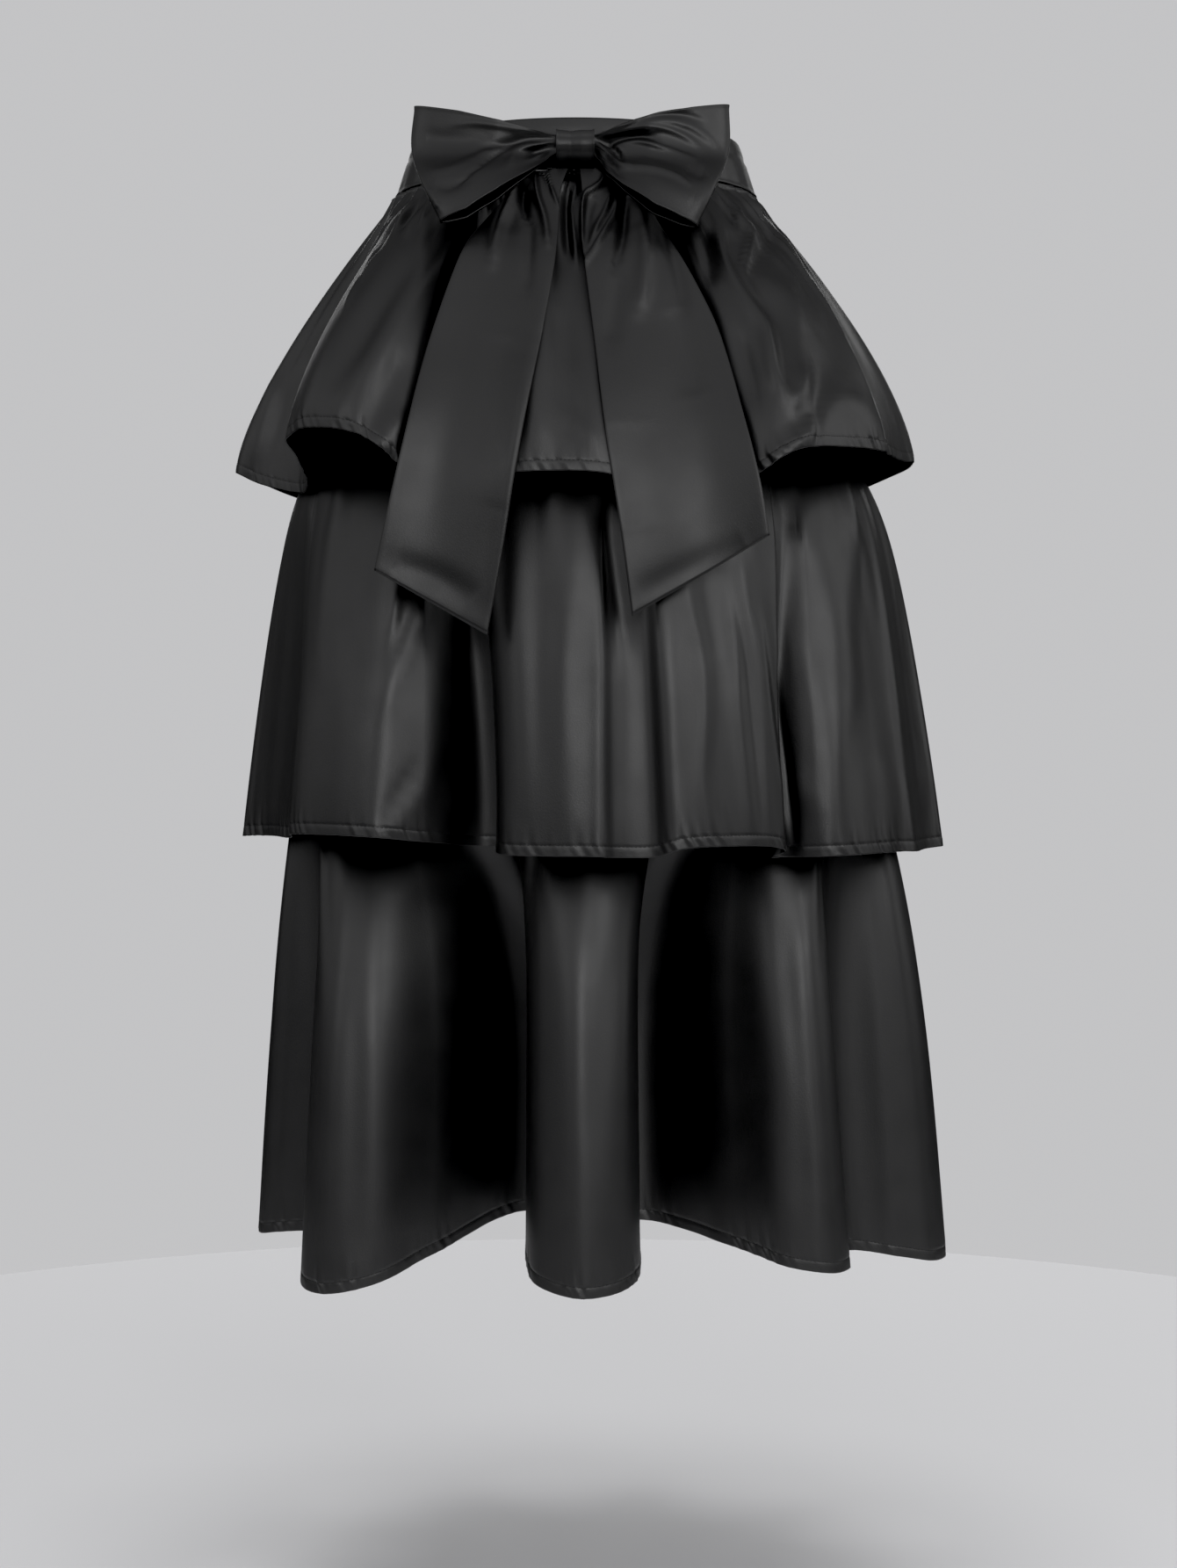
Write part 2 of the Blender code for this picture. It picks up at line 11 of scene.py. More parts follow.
import bpy
import numpy as np
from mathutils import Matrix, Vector


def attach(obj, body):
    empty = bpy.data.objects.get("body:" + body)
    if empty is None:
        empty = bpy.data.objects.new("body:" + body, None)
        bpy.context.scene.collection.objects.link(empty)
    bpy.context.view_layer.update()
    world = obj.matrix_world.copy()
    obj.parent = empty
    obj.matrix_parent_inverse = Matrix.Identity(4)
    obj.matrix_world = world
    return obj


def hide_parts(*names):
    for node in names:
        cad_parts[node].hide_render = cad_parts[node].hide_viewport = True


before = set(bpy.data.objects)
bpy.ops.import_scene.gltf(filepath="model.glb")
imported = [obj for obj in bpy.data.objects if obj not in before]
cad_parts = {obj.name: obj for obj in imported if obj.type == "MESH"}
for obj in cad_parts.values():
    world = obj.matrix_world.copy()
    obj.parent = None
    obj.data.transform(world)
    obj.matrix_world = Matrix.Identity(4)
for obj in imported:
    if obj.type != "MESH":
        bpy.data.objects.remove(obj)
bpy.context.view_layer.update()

MM = 0.001

# ---- Sizes of the skirt, nearly all shared with the solids ----

TIER_WALL = 1.3 * MM
BAND_WALL = 3.0 * MM
SEAM_GAP = 0.3 * MM

BAND_HEIGHT = 0.038
BAND_TOP_HALF = (0.1190, 0.0920)
BAND_FOOT_HALF = (0.1310, 0.0990)
BAND_BACK_RUCHES = 22
RUCHE_DEPTH = 0.0030

TIER2_SEAM_Z = -0.190
TIER3_SEAM_Z = -0.440

SIDE_SEAM = math.radians(90)
HALVES = (("front", -SIDE_SEAM, SIDE_SEAM), ("back", SIDE_SEAM, 2 * math.pi - SIDE_SEAM))
# A fold's shoulders lie a share of the way out to its flanks, and both sink from its crest by a
# share of its depth
SHOULDER_SPREAD, SHOULDER_SINK = 0.78, 0.15
FLANK_SINK = 0.5
CURVE_STEPS = 24

BAND_FLARE = (BAND_FOOT_HALF[0] - BAND_TOP_HALF[0]) / BAND_HEIGHT
TIER1_SEAM_Z = -BAND_HEIGHT / 2 - SEAM_GAP - 1.5 * TIER_WALL * BAND_FLARE
UNDERSKIRT_TOP_Z = -BAND_HEIGHT / 2 - SEAM_GAP - BAND_WALL * BAND_FLARE
UNDERSKIRT_TOP_HALF = [half - TIER_WALL - SEAM_GAP for half in BAND_FOOT_HALF]
UNDERSKIRT_TOP_EDGE = 0.004

Section = namedtuple("Section", "z half_width half_depth middle_x")
UNDERSKIRT = (
    Section(UNDERSKIRT_TOP_Z, *UNDERSKIRT_TOP_HALF, 0.0),
    Section(UNDERSKIRT_TOP_Z - UNDERSKIRT_TOP_EDGE, *UNDERSKIRT_TOP_HALF, 0.0),
    Section(-0.100, 0.162, 0.115, 0.002),
    Section(TIER2_SEAM_Z, 0.181, 0.122, 0.004),
    Section(TIER3_SEAM_Z, 0.210, 0.136, 0.010),
)

# One row for each fold that stands out at a hem, from the left side round the front:
#   seam        where the crest hangs from, in degrees round the seam
#   span        how much of the seam the fold's face hangs from, flank to flank, in degrees
#   turn        where the crest is at the hem, in degrees
#   reach       how far out the crest is from the middle, in mm
#   left, right from the crest to each flank, along the hem, in mm
#   hem         height of the hem at the crest, in mm
#   valley      how far out the next valley is, in mm
#   valley_hem  height of the hem in that valley, in mm
#   floor       how much of the gap between the two flanks the valley's floor takes up
#   lean        how far the floor lies towards the next fold, as a share of that gap
# The second tier's valleys after -9 and 24 degrees are 5 and 4 mm further out than in the solids.
Fold = namedtuple("Fold", "seam span turn reach left right hem valley valley_hem floor lean",
                  defaults=(0.0,))

TIER1_FOLDS = (
    Fold(-95, 30, -97, 250, 42, 46, -214, 204, -236, 0.3),
    Fold(-52, 32, -47, 246, 34, 66, -206, 184, -262, 0.7),
    Fold(-4, 44, -4, 207, 52, 52, -238, 196, -260, 0.5),
    Fold(44, 36, 49, 249, 74, 40, -218, 240, -216, 0.5),
    Fold(84, 24, 83, 243, 24, 28, -213, 213, -225, 0.6),
    Fold(128, 24, 127, 240, 40, 38, -224, 192, -236, 0.8),
    Fold(163, 24, 160, 224, 42, 36, -232, 184, -240, 0.8),
    Fold(196, 24, 194, 218, 36, 44, -236, 186, -238, 0.8),
    Fold(230, 26, 229, 242, 40, 40, -226, 210, -232, 0.5),
)

TIER2_FOLDS = (
    Fold(-92, 30, -92, 241, 34, 40, -480, 222, -478, 0.3),
    Fold(-50, 36, -44, 246, 38, 58, -473, 163, -482, 0.6, 0.32),
    Fold(-9, 26, -6, 210, 32, 40, -486, 208, -487, 0.6),
    Fold(24, 28, 27, 222, 40, 46, -480, 208, -489, 0.5, -0.3),
    Fold(58, 24, 58, 247, 56, 40, -487, 252, -488, 0.5),
    Fold(87, 20, 89, 266, 22, 38, -487, 232, -486, 0.5),
    Fold(120, 20, 120, 250, 36, 38, -484, 200, -482, 0.7),
    Fold(150, 20, 150, 226, 36, 34, -482, 174, -482, 0.9),
    Fold(180, 20, 181, 216, 34, 38, -484, 180, -483, 0.9),
    Fold(211, 20, 213, 228, 36, 34, -481, 194, -480, 0.8),
    Fold(240, 22, 243, 246, 34, 34, -478, 222, -479, 0.4),
)

TIER3_FOLDS = (
    Fold(-88, 20, -88, 230, 34, 40, -763, 197, -756, 0.5),
    Fold(-52, 26, -44, 240, 38, 32, -775, 104, -736, 0.7, 0.35),
    Fold(0, 27, 1.6, 214, 37, 39, -769, 112, -741, 0.7, -0.35),
    Fold(40, 21, 46, 238, 24, 30, -763, 206, -767, 0.6),
    Fold(78, 22, 80, 266, 30, 36, -777, 214, -768, 0.6),
    Fold(114, 22, 113, 252, 32, 38, -772, 160, -752, 0.8),
    Fold(149, 22, 148, 228, 40, 30, -770, 124, -744, 0.9),
    Fold(184, 24, 182, 210, 30, 44, -772, 108, -741, 1.0),
    Fold(225, 24, 226, 240, 44, 32, -768, 192, -756, 0.7),
)

# How far the underskirt spreads below the second tier's seam within that seam's own edge
YOKE_FLARE = 0.5 * MM
TIER2_YOKE, TIER3_YOKE = UNDERSKIRT[3], UNDERSKIRT[4]
PUFF_SPEED = 8
# One row for each tier. Its seam and its mean hem are ellipses, spread and forming say how soon
# below the seam it widens and its folds form, and puff is the share of its widening that comes at
# once, sideways and from front to back. The third tier's folds form sooner than in the solids.
Tier = namedtuple("Tier", "name seam_z seam_half seam_x hem_half hem_x spread forming puff "
                          "front_gathers back_gathers gather_depth seam_share folds")


def outside(section, distance):
    """Half-sizes of an ellipse that lies a distance outside a section of the underskirt."""
    return section.half_width + distance, section.half_depth + distance


TIERS = (
    Tier("tier1", TIER1_SEAM_Z, BAND_FOOT_HALF, 0.0, (0.232, 0.198), -0.003,
         1.42, 1.7, (0.0, 0.0), 26, 24, 0.0055, 0.015, TIER1_FOLDS),
    Tier("tier2", TIER2_SEAM_Z, outside(TIER2_YOKE, TIER_WALL + SEAM_GAP + YOKE_FLARE), 0.004,
         (0.240, 0.190), 0.010, 1.0, 1.6, (0.45, 0.85), 21, 20, 0.0055, 0.012, TIER2_FOLDS),
    Tier("tier3", TIER3_SEAM_Z - SEAM_GAP, outside(TIER3_YOKE, 0.0), 0.010,
         (0.232, 0.165), 0.014, 1.0, 3.8, (0.0, 0.0), 21, 20, 0.0045, 0.012, TIER3_FOLDS),
)

# Bow. A side of -1 is the left of the picture, +1 the right.
KNOT_SIZE = (0.026, 0.021, 0.025)
KNOT_Z = -0.0072
KNOT_SOLID_POINTS, KNOT_BLUNTNESS = 24, 0.62
KNOT_PINCH = 0.06
# A wing widens from its neck in the knot to its belly, and comes forward below its rest height
WING_NECK_HALF_DEPTH = 0.0034
WING_BELLY = 0.0125
WING_IN_KNOT = 0.1
WING_FREE_SPAN = 0.35
WING_EASE = 4
WING_BLUNTNESS = 0.78
WING_BACK_DROP = 0.0045
WING_FORWARD = 0.042
WING_REST_Z = -0.016
WING_REST_DEPTH = 0.020
WING_SOFTNESS = 0.004
# How far to each side of a place a tail rests on the foremost fold
TAIL_BRIDGE = 0.016
TAIL_WALL = 1.8 * MM
TAIL_RELAXING = 30
TAIL_ROWS, TAIL_COLUMNS = 14, 8

# Reach from the bow's middle, and the top and bottom edge there, in mm
WING_OUTLINE = {
    -1: ((4.5, 1.8, -10), (15, 1, -10.5), (23, 3.4, -20), (34, 6, -29.5), (56, 10.8, -45),
         (80, 16.6, -58), (112, 21.8, -65.5)),
    +1: ((4.5, 1.8, -10.5), (15, 1, -12.8), (23, 4.5, -30), (34, 8.5, -40.5), (56, 15, -55),
         (80, 19.2, -63), (105.5, 22.8, -69)),
}
# How far the folded end stops short of its reach, in mm: at the top, a third down, two thirds
# down and at the bottom
WING_END_CUT = {-1: (2.1, 0, 8.5, 22.2), +1: (0.4, 0.4, 10.4, 24.2)}

# Places down a tail: x and z of its inner edge, then x and z of its outer edge, in mm
TAIL_EDGES = {
    -1: ((-3.5, -20.2, -12, -20.2), (-10, -40, -42, -42), (-10.8, -64, -64, -66),
         (-13, -95, -77, -90), (-22, -150, -96, -150), (-33, -212, -107, -200),
         (-44, -278, -120, -260), (-56, -344, -129, -302)),
    +1: ((2.5, -20.2, 11, -20.2), (4.5, -40, 40, -42), (5, -64, 58, -64), (6, -90, 70, -88),
         (13, -150, 93, -138), (20, -212, 108, -195), (29, -272, 119, -244), (37, -332, 125, -280)),
}

# ---- Picture, fineness and forms finer than the solids ----

# Camera that sees the skirt as the picture does: its place, the pixel that it looks at, and how
# many pixels a metre takes up a metre away
CAMERA_PLACE = (0.009, -1.75, -0.4155)
PICTURE_SIZE = (1340, 1785)
PICTURE_MIDDLE = (670, 850)
PICTURE_SCALE = 2734
SENSOR = 36.0
BLACK_LEVEL = 0.006

# The shells are thinner than the solids' walls, and meet at the seams
SATIN, HEM_LAYER, LINING = 0.55 * MM, 0.5 * MM, 0.4 * MM
SIDE_OVERLAP = 0.1 * MM
ALLOWANCE_DEPTH, ALLOWANCE_HEIGHT = 0.9 * MM, 1.4 * MM

FRONT_COLUMNS, BACK_COLUMNS = 600, 380
FRONT_ROWS, BACK_ROWS = 44, 32
SEAM_ROWS, ROW_CROWDING = 4, 1.35

# Ranges for the gathers below a seam: shift, width and depth are shares of the room and the depth
# that a gather has, the narrow one's length is in metres and the wide one's is a share of one of
# WIDE_LENGTHS, and the lean is how far it goes sideways for each metre down
Gather = namedtuple("Gather", "shift width depth length lean")
WIDE = Gather((-0.22, 0.22), (0.34, 0.55), (0.45, 1.0), (0.8, 1.3), (-0.25, 0.25))
NARROW = Gather((-0.1, 0.1), (0.14, 0.24), (0.15, 0.5), (0.008, 0.03), (-0.3, 0.3))
WIDE_LENGTHS = (0.018, 0.03, 0.05, 0.085)
GATHER_WIDENING, GATHER_FADING = 2.2, 1.5
GATHER_AT_SEAM, GATHER_RISE = 0.35, 3 * MM
GATHER_END_ZONE = 4 * MM

# How far below its seam each tier's creases are at their full height
CREASES_START = (0.008, 0.080, 0.040)
CREASE_END_ZONE = 10 * MM
# Creases where no picture shows them, drawn at random
HIDDEN_PITCH = 0.05
HIDDEN_LEAN, HIDDEN_BEND, HIDDEN_WIDTH, HIDDEN_HEIGHT = 0.03, 0.012, (0.006, 0.013), (1.0, 2.2)
HIDDEN_LOW, HIDDEN_HIGH, HIDDEN_TAPER = (0.0, 0.35), (0.65, 1.15), 0.6
HIDDEN_AT_SIDES = 0.6
FACING_RISE = 3
WAVE_WANDER = 1.3
SEED_STEP, CREASE_SEED, HEM_SEED = 100, 20, 40
BAND_FRONT_SEED, BAND_BACK_SEED, RUCHE_SWAY_SEED, KNOT_SEED = 71, 72, 73, 81

# Hem: the rows of points above its edge, its turned layer, its stitched groove and its puckers
HEM_DEPTH = 7.0 * MM
HEM_ROWS = [distance * MM for distance in (9.5, 8.2, 7.5, 7.0, 6.5, 5.4, 3.8, 2.0, 0.8, 0.0)]
HEM_BULGE, HEM_EDGE_ABOVE, HEM_EDGE_SLOPE = 0.08 * MM, 0.7 * MM, 1.2 * MM
STITCH_GROOVE, GROOVE_WIDTH = 0.22 * MM, 0.8 * MM
PUCKER_DEPTH, PUCKER_ZONE, PUCKER_SLANT = 0.95 * MM, 14 * MM, 0.6
PUCKER_MIDDLE = 0.6 * HEM_DEPTH
PUCKER_WAVES = (0.0067, 0.0091, 0.0130)
PATCH_MIDDLE, PATCH_LEAST, PATCH_WAVES = 0.5, 0.05, (0.061, 0.097, 0.150)
HEM_WAVE_HEIGHT, HEM_WAVE_FADING, HEM_WAVES = 0.6 * MM, 0.03, (0.033, 0.052)
STITCH_PITCH, STITCH_LENGTH, STITCH_THICK = 2.8 * MM, 1.9 * MM, 0.38 * MM
STITCH_RISE, STITCH_SIDES = 0.12 * MM, 4
# Rings of a stitch: how far along it, and how thick
STITCH_RINGS = ((0.0, 0.3), (0.2, 1.0), (0.8, 1.0), (1.0, 0.3))

# ---- Creases ----

# A crease is a soft ridge (height above zero) or trough along a line of picture points. Each row
# has its half-width and height in mm, and then its points in pixels
CREASE_PITCH = 3
CREASE_REACH = 3.2
CREASE_TIP = 0.02

CREASES = {
    "tier1_front": (
        # left lobe, its two long sheens and the hollow between them
        (9, 4.5, (459, 272), (426, 325), (397, 367), (371, 420), (348, 480)),
        (9, 3.9, (520, 265), (481, 315), (450, 357), (423, 404), (397, 441), (382, 484)),
        (8, -3.1, (470, 300), (440, 350), (413, 395), (380, 450)),
        (11, -4.2, (462, 399), (431, 461), (405, 506)),
        (8, 2.8, (457, 470), (434, 513)),
        # small sharp gathers at the left end of the band
        (3, 3.1, (473, 231), (452, 250), (438, 264)),
        (2.5, -2.8, (480, 233), (462, 252), (455, 262)),
        (3, 2.8, (487, 236), (472, 252), (462, 268)),
        (3, 3.0, (431, 284), (424, 300), (415, 321)),
        (2.5, 2.6, (411, 318), (405, 334), (398, 352)),
        (7, 3.1, (318, 430), (303, 478), (287, 530)),
        (8, -2.2, (330, 440), (318, 490), (305, 530)),
        # under the knot and between the tails
        (1.2, 2.4, (634, 198), (634, 205), (637, 211), (641, 210), (649, 207)),
        (1.2, 2.0, (644, 200), (649, 203), (653, 207)),
        (1.3, 2.2, (635, 222), (638, 217), (641, 213)),
        (1.6, 3.0, (659, 198), (655, 216), (651, 228), (650, 242), (653, 272), (657, 300)),
        (4, -4.5, (650, 214), (646, 250), (648, 290)),
        (4, -3.9, (670, 215), (668, 250), (672, 290)),
        (5, 3.0, (637, 203), (646, 211), (655, 205)),
        (10, 3.5, (626, 330), (611, 400), (607, 445), (615, 510)),
        (11, 1.8, (648, 405), (668, 455), (684, 508)),
        (9, -2.8, (640, 350), (648, 430), (655, 500)),
        (5, 1.2, (636, 466), (664, 488), (682, 512)),
        # right lobe, the long winding ridge and the hollow beside it
        (4.5, 4.5, (809, 226), (820, 256), (822, 288), (833, 315), (854, 347), (870, 371),
         (877, 400), (881, 422), (891, 444), (905, 457)),
        (6, 3.1, (905, 457), (914, 444), (914, 420)),
        (6.5, -4.9, (828, 240), (834, 280), (854, 318), (872, 341), (889, 366), (896, 400), (900, 430)),
        (9, -4.2, (838, 372), (845, 400), (853, 430), (862, 458)),
        (3.2, 3.9, (841, 246), (855, 262), (853, 282), (848, 304), (855, 322), (866, 336)),
        (7, 3.4, (873, 318), (892, 333), (904, 352), (912, 374)),
        (3, 2.8, (828, 245), (832, 260), (839, 259), (839, 240), (836, 226)),
        (6, -4.0, (858, 244), (874, 254), (878, 266), (868, 290), (858, 308)),
        (5, 3.5, (843, 232), (868, 237), (879, 252), (890, 270), (909, 294), (929, 322), (948, 355),
         (967, 391), (983, 426), (988, 452)),
        (8, 2.6, (884, 285), (898, 308), (920, 345), (936, 378)),
        (8, -2.8, (905, 312), (928, 350), (948, 395), (960, 430)),
        (8, 2.8, (943, 457), (975, 462), (990, 480), (1000, 500)),
        (7, -3.5, (922, 392), (935, 420), (934, 446), (918, 470), (897, 486)),
        (7, 3.4, (876, 526), (897, 513), (916, 497), (930, 474)),
        (3, -2.2, (935, 452), (932, 484), (928, 518)),
        (6, -3.9, (797, 262), (806, 290), (808, 320)),
    ),
    "tier2_front": (
        # the outermost lobe at the left and its long thin sheen
        (5.5, 1.2, (349, 560), (332, 681), (320, 804), (305, 940)),
        # left lobe
        (11, 1.6, (398, 545), (382, 613), (374, 681), (373, 745), (381, 804), (377, 945)),
        (15.4, -1.6, (412, 600), (418, 700), (405, 775)),
        (3.9, 1.2, (452, 664), (449, 690), (445, 716)),
        (6.6, 1.3, (487, 680), (470, 728), (448, 775), (436, 812)),
        (4.4, -1.2, (472, 672), (458, 712), (450, 740)),
        (9.9, 1.2, (504, 700), (499, 804), (488, 880), (463, 919), (437, 947)),
        (5.5, -1.4, (475, 877), (455, 905), (436, 934)),
        # centre lobe
        (9.9, 1.6, (590, 584), (585, 687), (590, 775), (602, 945)),
        (6.6, 1.2, (640, 545), (631, 560), (624, 572)),
        (7.7, -1.2, (594, 562), (606, 545), (618, 538)),
        (11, 1.4, (660, 549), (657, 613), (646, 716), (640, 789), (650, 921), (664, 951)),
        (9.9, -1.1, (616, 630), (619, 745), (616, 880)),
        (9.0, -6.0, (684, 540), (690, 580), (698, 630), (706, 690), (708, 740)),
        (9.9, 1.1, (765, 681), (763, 745), (763, 833), (757, 945)),
        (5.5, 1.5, (780, 666), (792, 704), (801, 745), (802, 819), (799, 892), (814, 962)),
        (13.2, -2.2, (812, 640), (814, 700), (817, 760)),
        (8.8, -1.0, (710, 700), (712, 800), (708, 930)),
        (5, 1.5, (828, 675), (839, 731), (842, 804), (848, 863), (858, 955)),
        (5, 1.4, (840, 634), (848, 672), (858, 745), (869, 819), (878, 950)),
        (4.4, -1.3, (838, 690), (849, 745), (856, 819), (867, 940)),
        # the overlapping edge and the hollow behind it
        (3.5, 1.7, (863, 698), (875, 789), (889, 892), (897, 960)),
        (3.5, -2.2, (868, 690), (881, 789), (896, 892), (904, 960)),
        # right lobe
        (9.9, 1.4, (876, 552), (877, 628), (872, 716), (878, 780)),
        (5.5, 1.4, (905, 540), (914, 576), (914, 619), (903, 606)),
        (5.5, -1.2, (893, 552), (896, 590), (899, 606)),
        (7.7, 1.5, (944, 552), (959, 622), (957, 701), (967, 775), (958, 833), (944, 950)),
        (13.2, -1.4, (928, 640), (932, 731), (921, 800)),
        (12.1, 1.2, (901, 712), (908, 745), (912, 790)),
        (6.1, 1.5, (982, 543), (1007, 613), (1018, 716), (1030, 804), (1049, 880), (1043, 945)),
        (12.1, -1.3, (984, 640), (992, 740), (998, 840)),
        (7.7, 1.1, (1002, 872), (1016, 900), (1020, 945)),
        (8.8, 1.0, (896, 884), (916, 902), (936, 920)),
    ),
    "tier3_front": (
        (10.4, 0.8, (346, 958), (343, 1083), (347, 1190), (337, 1340)),
        # left lobe
        (11.7, 1.2, (394, 955), (391, 1083), (384, 1190), (370, 1333), (366, 1440)),
        (10.4, 1.1, (423, 975), (419, 1119), (426, 1226), (430, 1386), (438, 1450)),
        (9.1, -1.0, (406, 1011), (405, 1190), (404, 1330), (400, 1420)),
        (7.8, 0.7, (384, 1441), (408, 1450), (430, 1446)),
        # centre lobe
        (14.3, 1.2, (606, 975), (638, 1058), (654, 1154), (657, 1261), (655, 1351), (638, 1460)),
        (11.7, 1.1, (726, 970), (727, 1065), (711, 1172), (697, 1297), (679, 1455)),
        (13, -1.0, (700, 1080), (684, 1200), (676, 1310)),
        (14.3, -0.9, (617, 1100), (623, 1220), (625, 1350)),
        # right lobes
        (13, 1.1, (856, 1000), (868, 1101), (886, 1190), (897, 1261), (887, 1333), (898, 1440)),
        (7.2, 1.0, (911, 975), (915, 1119), (923, 1244), (932, 1351), (933, 1450)),
        (9.1, -0.9, (888, 1047), (903, 1154), (912, 1250), (912, 1380)),
        (10.4, 1.0, (1003, 970), (1004, 1119), (1011, 1261), (1027, 1420)),
        (9.1, -0.8, (1030, 1010), (1038, 1180), (1048, 1330)),
    ),
    "bow_wing_left": (
        # the ridge under the top edge, and the trough that runs out of the knot below it
        (2.6, 0.9, (632, 154), (595, 148), (560, 142), (537, 140), (514, 142)),
        (3.4, -3.4, (626, 162), (606, 160), (590, 161), (572, 164), (552, 167)),
        (6.0, -1.4, (560, 158), (530, 160), (500, 158), (484, 156)),
        # the roll that spreads into the lower panel, and the hole beside it at the knot
        (3.2, 2.6, (632, 162), (606, 163), (595, 167), (586, 176), (580, 190)),
        (2.2, -3.4, (633, 170), (616, 170), (609, 172), (602, 177)),
        # the sharp line above the lower panel, ending in a soft hollow
        (3.0, 1.7, (572, 166), (556, 172), (538, 182), (512, 192), (488, 196)),
        (1.5, -1.9, (582, 166), (567, 174), (551, 185), (532, 198), (518, 209)),
        (4.6, -2.6, (534, 199), (518, 208), (506, 211), (494, 209)),
        (2.0, 1.2, (488, 214), (494, 226), (500, 238)),
    ),
    "bow_wing_right": (
        # fine gathers along the top, and two bright crescents below them
        (1.3, 1.2, (674, 149), (690, 145), (708, 143)),
        (1.3, 1.2, (676, 153), (698, 147), (718, 140), (728, 135)),
        (2.4, -1.2, (738, 133), (756, 130), (780, 131), (800, 138)),
        (2.8, 1.3, (718, 145), (735, 140), (753, 138), (771, 140), (789, 146), (807, 158), (815, 170)),
        (2.4, 1.6, (676, 156), (698, 152), (722, 147), (741, 145), (759, 147), (777, 154),
         (789, 162), (798, 170)),
        # the two black hollows at the knot, and the lit cloth between them
        (3.2, -4.2, (680, 160), (692, 161), (711, 156), (729, 154), (744, 157)),
        (2.0, 2.0, (698, 163), (717, 160), (735, 162), (759, 170), (789, 180)),
        (2.4, -4.2, (688, 161), (694, 165), (702, 174), (709, 184)),
        (1.3, 1.5, (695, 164), (705, 169), (712, 181), (714, 189)),
        (4.0, -1.4, (736, 176), (762, 184), (790, 192), (804, 196)),
        # the long ridge out of the knot, and the bright panel below it
        (2.0, 3.0, (678, 159), (686, 167), (695, 178), (702, 185), (711, 190), (735, 192),
         (753, 195), (771, 201), (784, 209)),
        (1.6, 1.8, (677, 160), (683, 171), (689, 185), (696, 196)),
        (2.2, -1.8, (690, 178), (698, 190), (708, 201)),
        (5.0, -1.7, (781, 190), (796, 198), (806, 194)),
        (6.0, 1.2, (740, 206), (764, 216), (790, 226)),
    ),
    "bow_tail_left": (
        # the outer ridge, the black gap and the inner ridge that come out from under the wing
        (4.2, 5.5, (606, 184), (600, 193), (590, 211), (578, 236), (567, 262), (560, 300)),
        (3, -4.5, (608, 194), (601, 205), (597, 216), (596, 232), (600, 250)),
        (2.4, 4.8, (622, 178), (614, 183), (611, 191), (609, 206), (612, 226), (620, 250), (624, 280)),
        (1.8, -2.2, (618, 190), (622, 204), (628, 218)),
        (1.4, 2.2, (615, 186), (622, 200), (630, 222), (637, 238)),
        (4, -2.0, (604, 250), (602, 290), (600, 330)),
        (9, 2.0, (624, 262), (622, 320), (612, 380)),
        (12, -2.0, (572, 380), (566, 450), (560, 530)),
        (12, 1.8, (596, 400), (580, 500), (566, 580)),
        (9, -2.0, (446, 640), (502, 660), (540, 686)),
        (5, 1.5, (607, 380), (586, 520), (563, 690)),
    ),
    "bow_tail_right": (
        # the fold that curls over at the inner edge, two narrow ridges and the broad one
        (1.6, 3.8, (688, 203), (684, 212), (676, 218), (666, 224), (663, 236), (662, 270)),
        (4, -3.0, (676, 226), (670, 240), (668, 262), (672, 290)),
        (2, 3.2, (695, 226), (688, 244), (678, 262), (670, 280)),
        (2, 3.5, (704, 228), (700, 244), (692, 258), (682, 274), (670, 292), (664, 299)),
        (3.4, -4.2, (712, 222), (711, 244), (708, 272), (700, 304)),
        (5.5, 5.0, (726, 214), (731, 240), (735, 275), (733, 320), (727, 353)),
        (4.5, -3.2, (748, 232), (758, 264), (772, 310), (780, 350)),
        (6, -2.2, (706, 300), (702, 340), (696, 390)),
        (11, -2.2, (764, 350), (779, 400), (792, 450)),
        (16, -2.0, (716, 480), (716, 540), (722, 600)),
        (10, -1.8, (728, 680), (780, 652), (850, 620)),
    ),
}


def hermite(start, end, leave, arrive, t):
    """A smooth curve between two points with its slopes at both, at shares t of the way."""
    return ((2 * t**3 - 3 * t**2 + 1) * start + (t**3 - 2 * t**2 + t) * leave
            + (3 * t**2 - 2 * t**3) * end + (t**3 - t**2) * arrive)


def smooth_line(points, pitch):
    """A smooth line through points, in steps that are no longer than a pitch."""
    points = np.array(points, dtype=float)
    steps = math.ceil(np.linalg.norm(np.diff(points, axis=0), axis=1).max() / pitch)
    shares = np.arange(steps)[:, None] / steps
    padded = np.concatenate((points[:1], points, points[-1:]))
    spans = [hermite(p1, p2, (p2 - p0) / 2, (p3 - p1) / 2, shares)
             for p0, p1, p2, p3 in zip(padded, padded[1:], padded[2:], padded[3:])]
    return np.concatenate((*spans, points[-1:]))


def picture_points(points):
    """Where points of the skirt fall in the picture, in pixels, and the mm a pixel takes there."""
    away = points[..., 1] - CAMERA_PLACE[1]
    across = PICTURE_MIDDLE[0] + (points[..., 0] - CAMERA_PLACE[0]) * PICTURE_SCALE / away
    down = PICTURE_MIDDLE[1] - (points[..., 2] - CAMERA_PLACE[2]) * PICTURE_SCALE / away
    return np.stack((across, down), axis=-1), away / PICTURE_SCALE / MM


def mound(values, middle, width):
    """1 at the middle, falling smoothly to nothing within three widths of it."""
    return np.exp(-((values - middle) / width) ** 2)


